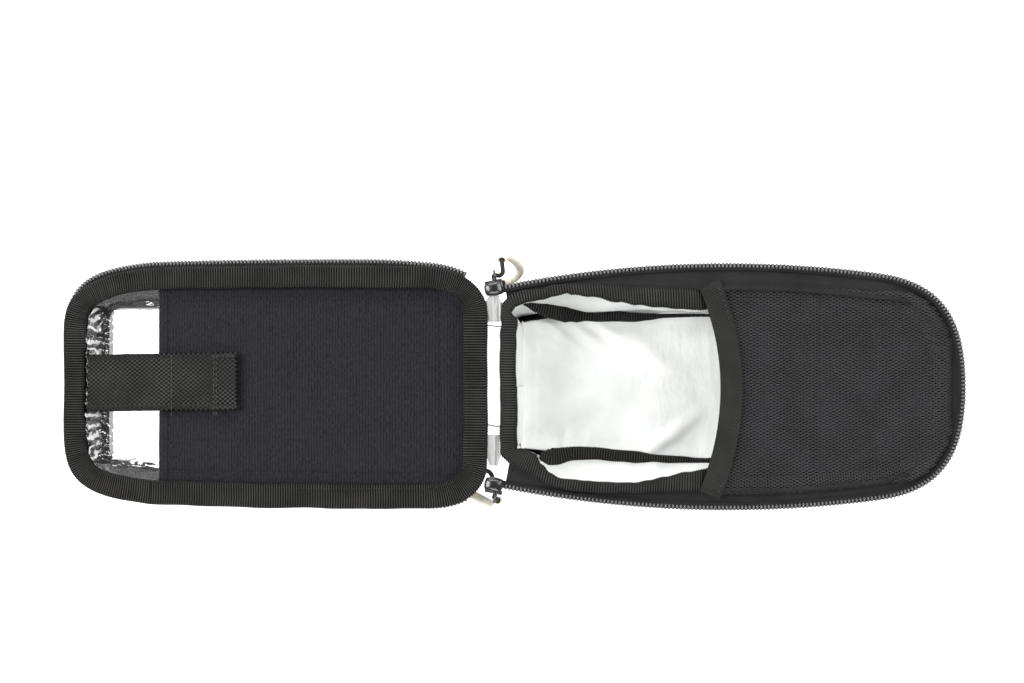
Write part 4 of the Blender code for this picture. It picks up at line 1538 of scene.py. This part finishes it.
class TANKBAG_OT_film(bpy.types.Operator):
    """Make the clear film behind the window, creased along its edge"""

    bl_idname = "tankbag.film"
    bl_label = "Window film"

    def execute(self, context):
        tall = sizes_of(context).film_wrinkle / MM
        edge = moved_in(lid_edge(), 8.3, True)
        low = min(point.x for point in edge)
        high = max(point.x for point in edge)
        near, far, half, _ = WINDOW

        def level(x, y):
            inside = min(far + x, -near - x, half - abs(y))
            border = 1 - ease(-1.5, 2.5, inside)
            border *= 0.22 + 0.78 * ease(-half - 4, -half, -abs(y)) + 0.15 * ease(far, far + 8, -x)
            rough = wobble(x * 0.35, y, 4.4, 31) * 1.5 + 0.5 * wobble(x * 0.4, y, 2.2, 32)
            rough += 0.15 * wobble(x, y, 1.5, 33)
            ridge = 1 - abs(wobble(x * 0.3, y, 5.5, 34)) * 2.4
            calm = 0.12 * wobble(x, y, 24, 35)
            slant = y + 0.25 * (x + far) + 1.6 * wobble(x * 0.4, y, 9, 36)
            strip = ease(far - 3, far, -x) * (1 - ease(half - 3, half + 4, abs(y)))
            calm += 1.0 * math.sin(TURN * slant / 5.2) * strip
            brim = half_width(edge, min(max(x, low + 0.05), high - 0.05)) - abs(y)
            rim = min(brim, x - low, high - x)
            reach = 4.0 + 3.0 * ease(-far + 2, -far + 12, x)
            flange = 8.4 * (1 - ease(-1.0, reach, rim)) ** 1.3
            return -13.2 + flange + calm + border * tall * (1.2 * rough + 0.8 * ridge)

        bm = spread_panel(edge, low, high, 300, 150, level, ease_ends=False)
        piece = finish_piece("window_sheet", bm, LOOKS["clear_film"], ON_LID, "lid",
                             ["window_film"], closed=False, thick=0.3)

        rows = []
        for out, radius in ((3.8, 6.5), (1.4, 5.6)):
            line = rounded_rectangle(-far - out, -near + out, half + out, radius, 8)
            rows += row_places(line, True, 2.7, lambda x, y: level(x, y) + 0.25)
        stitches("window_stitches", rows, 1.7, 0.24, LOOKS["thread"], ON_LID, "lid")
        return {"FINISHED"}


class TANKBAG_OT_velour(bpy.types.Operator):
    """Make the velour phone pocket with its hem and stitch lines"""

    bl_idname = "tankbag.velour"
    bl_label = "Velour pocket"

    def execute(self, context):
        far, half = VELOUR_EDGE, VELOUR_HALF
        inside = moved_in(lid_edge(), 8.4, True)
        nearest = max(point.x for point in inside) - 0.02
        outline = [Vector((-far, -half)), Vector((-far, half))]
        outline += [Vector((x, min(half, half_width(inside, x))))
                    for x in [nearest * (4 - k / 16) for k in range(49)]]
        outline += [Vector((p.x, -p.y)) for p in reversed(outline[2:])]
        sew_x, sew_y = -22.3, 35.3

        def line_dip(x, y):
            """How near a point is to the sewn rectangle, from 0 to 1."""
            gap = 9.0
            if x < sew_x + 1.5:
                gap = min(gap, abs(abs(y) - sew_y))
            if abs(y) < sew_y + 1.5:
                gap = min(gap, abs(x - sew_x))
            return math.exp(-(gap / 1.1) ** 2)

        def level(x, y):
            hem = 0.5 * math.exp(-((x + far - 2.6) / 1.6) ** 2) \
                - 0.35 * math.exp(-((x + far - 4.2) / 0.5) ** 2)
            soft = 0.35 * wobble(x, y, 20, 41) + 0.15 * wobble(x, y, 7, 42)
            fold = (x + 22.5) - (40.0 - y) * 1.5
            crease = 0.8 * math.exp(-(fold / 2.2) ** 2) * ease(27, 33, y)
            edge = 0.5 * ease(0.0, 1.0, 1 - abs(abs(y) - 38.2) / 1.5)
            return -5.5 + soft + hem + edge + crease - 0.5 * line_dip(x, y)

        bm = spread_panel(outline, -far, nearest, 220, 130, level, ease_ends=False)
        piece = finish_piece("phone_sleeve", bm, LOOKS["velour"], ON_LID, "lid",
                             ["phone_pocket"], closed=False, thick=1.1)

        def top(x, y):
            return level(x, y) + 0.58

        hem = [Vector((-far + 4.2, -half + 0.6)), Vector((-far + 4.2, half - 0.6))]
        rows = row_places(hem, False, 3.2, top)
        rectangle = [Vector((-far + 4.5, sew_y)), Vector((sew_x, sew_y)),
                     Vector((sew_x, -sew_y)), Vector((-far + 4.5, -sew_y))]
        for a, b in zip(rectangle, rectangle[1:]):
            rows += row_places([a, b], False, 3.1, top)
        stitches("velour_stitches", rows, 2.0, 0.15, LOOKS["cord"], ON_LID, "lid")
        return {"FINISHED"}


class TANKBAG_OT_strap(bpy.types.Operator):
    """Make the webbing flap that holds the phone, with its folded end"""

    bl_idname = "tankbag.strap"
    bl_label = "Phone strap"

    def execute(self, context):
        run = STRAP_ROOT - STRAP_TIP - 0.7
        back = STRAP_FOLD - STRAP_TIP - 0.7
        bend = STRAP_BEND
        curl = math.pi * bend
        total = run + curl + back
        along = 190
        across = 62

        def spine(s):
            """Distance from the hinge, height and normal of the folded webbing."""
            if s < run:
                return -STRAP_ROOT + s, -2.45, (0, 1)
            if s < run + curl:
                angle = (s - run) / bend
                return (-STRAP_ROOT + run + bend * math.sin(angle),
                        -2.45 + bend * (1 - math.cos(angle)),
                        (-math.sin(angle), math.cos(angle)))
            return (-STRAP_ROOT + run - (s - run - curl), -2.45 + 2 * bend, (0, -1))

        def place(i, j):
            s = total * i / along
            y = STRAP_WIDTH * (j / across - 0.5)
            x, z, (nx, nz) = spine(s)
            weave = 0.17 * math.sin(TURN * s / 2.1) * math.sin(TURN * y / 1.62)
            edge = 1 - 0.25 * ease(0.90, 1.0, abs(y) / (STRAP_WIDTH / 2))
            skew = 0.035 * (x + STRAP_ROOT)
            wave = 0.25 * wobble(x, 0, 18, 51) * ease(0, 20, s) * (1 - ease(40, 55, s))
            return (x + nx * weave, 0.7 + y * edge + skew * 0.5,
                    z + nz * weave * edge + wave), (s, y)

        bm = laid_grid(along, across, place)
        piece = finish_piece("strap_webbing", bm, LOOKS["webbing"], ON_LID, "strap",
                             ["phone_strap"], thick=1.0)
        rows = []
        for x, right, left, level in ((-STRAP_FOLD + 1.6, -11.2, 11.4, -0.55),
                                      (-STRAP_FOLD + 2.6, -11.2, 11.4, -0.55),
                                      (-134, -11.5, 11.5, -1.85)):
            rows += row_places([Vector((x, right)), Vector((x, left))], False, 2.3, level)
        stitches("strap_stitches", rows, 1.8, 0.2, LOOKS["thread"], ON_LID, "strap")

        patch = bmesh.new()
        bmesh.ops.create_cube(patch, size=1)
        bmesh.ops.scale(patch, verts=patch.verts, vec=(18.0, 21.6, 0.6))
        upright = [edge for edge in patch.edges
                   if abs(edge.verts[0].co.z - edge.verts[1].co.z) > 0.1]
        bmesh.ops.bevel(patch, geom=upright, offset=1.2, segments=4, affect="EDGES",
                        profile=0.5, material=-1)
        place = ON_LID @ Matrix.Translation((-STRAP_TIP - 10.75, 0.5, -3.7))
        finish_piece("hook_square", patch, LOOKS["hook_tape"], place, "strap",
                     ["hook_patch"])
        hook = bmesh.new()
        bmesh.ops.create_cone(hook, cap_ends=True, segments=5, radius1=0.16,
                              radius2=0.09, depth=0.5)
        spots = [Matrix.Translation((-8.2 + 1.05 * i, -10.0 + 1.05 * j, -0.42))
                 for i in range(16) for j in range(20)]
        finish_piece("hook_points", repeated(hook, spots), LOOKS["hook_tape"], place,
                     "strap")
        return {"FINISHED"}


class TANKBAG_OT_sliders(bpy.types.Operator):
    """Make the two black zip sliders with their eyes"""

    bl_idname = "tankbag.sliders"
    bl_label = "Zip sliders"

    def execute(self, context):
        for name, side in (("left", 1), ("right", -1)):
            eye = eye_place(side)
            middle = eye @ Matrix.Translation((-1.5, -side * 3.6, 0))
            bm = bmesh.new()
            for top in (1, -1):
                made = bmesh.ops.create_uvsphere(bm, u_segments=32, v_segments=16,
                                                 radius=1)["verts"]
                for vert in made:
                    x, y, z = vert.co
                    round_off = max(abs(x), abs(y), 1e-6) / max(math.hypot(x, y), 1e-6)
                    x, y = x / round_off ** 0.6, y / round_off ** 0.6
                    wide = 3.0 * (1 - 0.16 * (x < 0) * abs(x))
                    vert.co = (3.7 * x, -1.35 + wide * y,
                               top * (1.7 + max(1.75 * z * top, -0.4)))
            web = bmesh.ops.create_cube(bm, size=1)["verts"]
            bmesh.ops.scale(bm, verts=web, vec=(7.0, 1.5, 4.4))
            bmesh.ops.translate(bm, verts=web, vec=(0.4, 1.15, 0))
            bmesh.ops.scale(bm, verts=bm.verts, vec=(1, side, 1))
            bmesh.ops.recalc_face_normals(bm, faces=bm.faces)
            sharp = [edge for edge in bm.edges if edge.calc_face_angle(0) > 1.2]
            bmesh.ops.bevel(bm, geom=sharp, offset=0.3, segments=3, affect="EDGES",
                            profile=0.5, material=-1, clamp_overlap=True)
            finish_piece("slider_body_" + name, bm, LOOKS["black_metal"], middle,
                         "slider_" + name, ["slider_" + name])

            bm = bmesh.new()
            bmesh.ops.create_circle(bm, segments=12, radius=0.5,
                                    matrix=Matrix.Translation((1.9, 0, 0))
                                    @ Matrix.Rotation(math.pi / 2, 4, "X"))
            bmesh.ops.spin(bm, geom=bm.verts[:] + bm.edges[:], cent=(0, 0, 0),
                           axis=(0, 0, 1), angle=TURN, steps=36, use_merge=True)
            weld(bm)
            finish_piece("slider_ring_" + name, bm, LOOKS["black_metal"],
                         eye @ Matrix.Rotation(math.pi / 2, 4, "Y"), "slider_" + name,
                         ["slider_eye_" + name])
        return {"FINISHED"}


class TANKBAG_PT_panel(bpy.types.Panel):
    """The bag's pieces and settings"""

    bl_idname = "TANKBAG_PT_panel"
    bl_label = "Tank bag"
    bl_space_type = "VIEW_3D"
    bl_region_type = "UI"
    bl_category = "Tank bag"

    def draw(self, context):
        layout = self.layout
        for group in (context.scene.tank_bag_sizes, context.scene.tank_bag_colours):
            box = layout.box()
            for name in group.__annotations__:
                box.prop(group, name)
        for operator in OPERATORS:
            layout.operator(operator.bl_idname)


OPERATORS = (
    TANKBAG_OT_finishes, TANKBAG_OT_stage, TANKBAG_OT_pulls, TANKBAG_OT_shell,
    TANKBAG_OT_lining, TANKBAG_OT_rim, TANKBAG_OT_zips, TANKBAG_OT_pocket,
    TANKBAG_OT_hinge, TANKBAG_OT_lid, TANKBAG_OT_film, TANKBAG_OT_velour,
    TANKBAG_OT_strap, TANKBAG_OT_sliders,
)
CLASSES = (TankBagSizes, TankBagColours, *OPERATORS, TANKBAG_PT_panel)


def register():
    """Add the classes and their settings."""
    for cls in CLASSES:
        bpy.utils.register_class(cls)
    bpy.types.Scene.tank_bag_sizes = PointerProperty(type=TankBagSizes)
    bpy.types.Scene.tank_bag_colours = PointerProperty(type=TankBagColours)


def unregister():
    """Remove the classes and their settings."""
    del bpy.types.Scene.tank_bag_sizes
    del bpy.types.Scene.tank_bag_colours
    for cls in reversed(CLASSES):
        bpy.utils.unregister_class(cls)


def main():
    """Make the whole bag."""
    register()
    for operator in OPERATORS:
        family, name = operator.bl_idname.split(".")
        getattr(getattr(bpy.ops, family), name)()


if __name__ == "__main__":
    main()
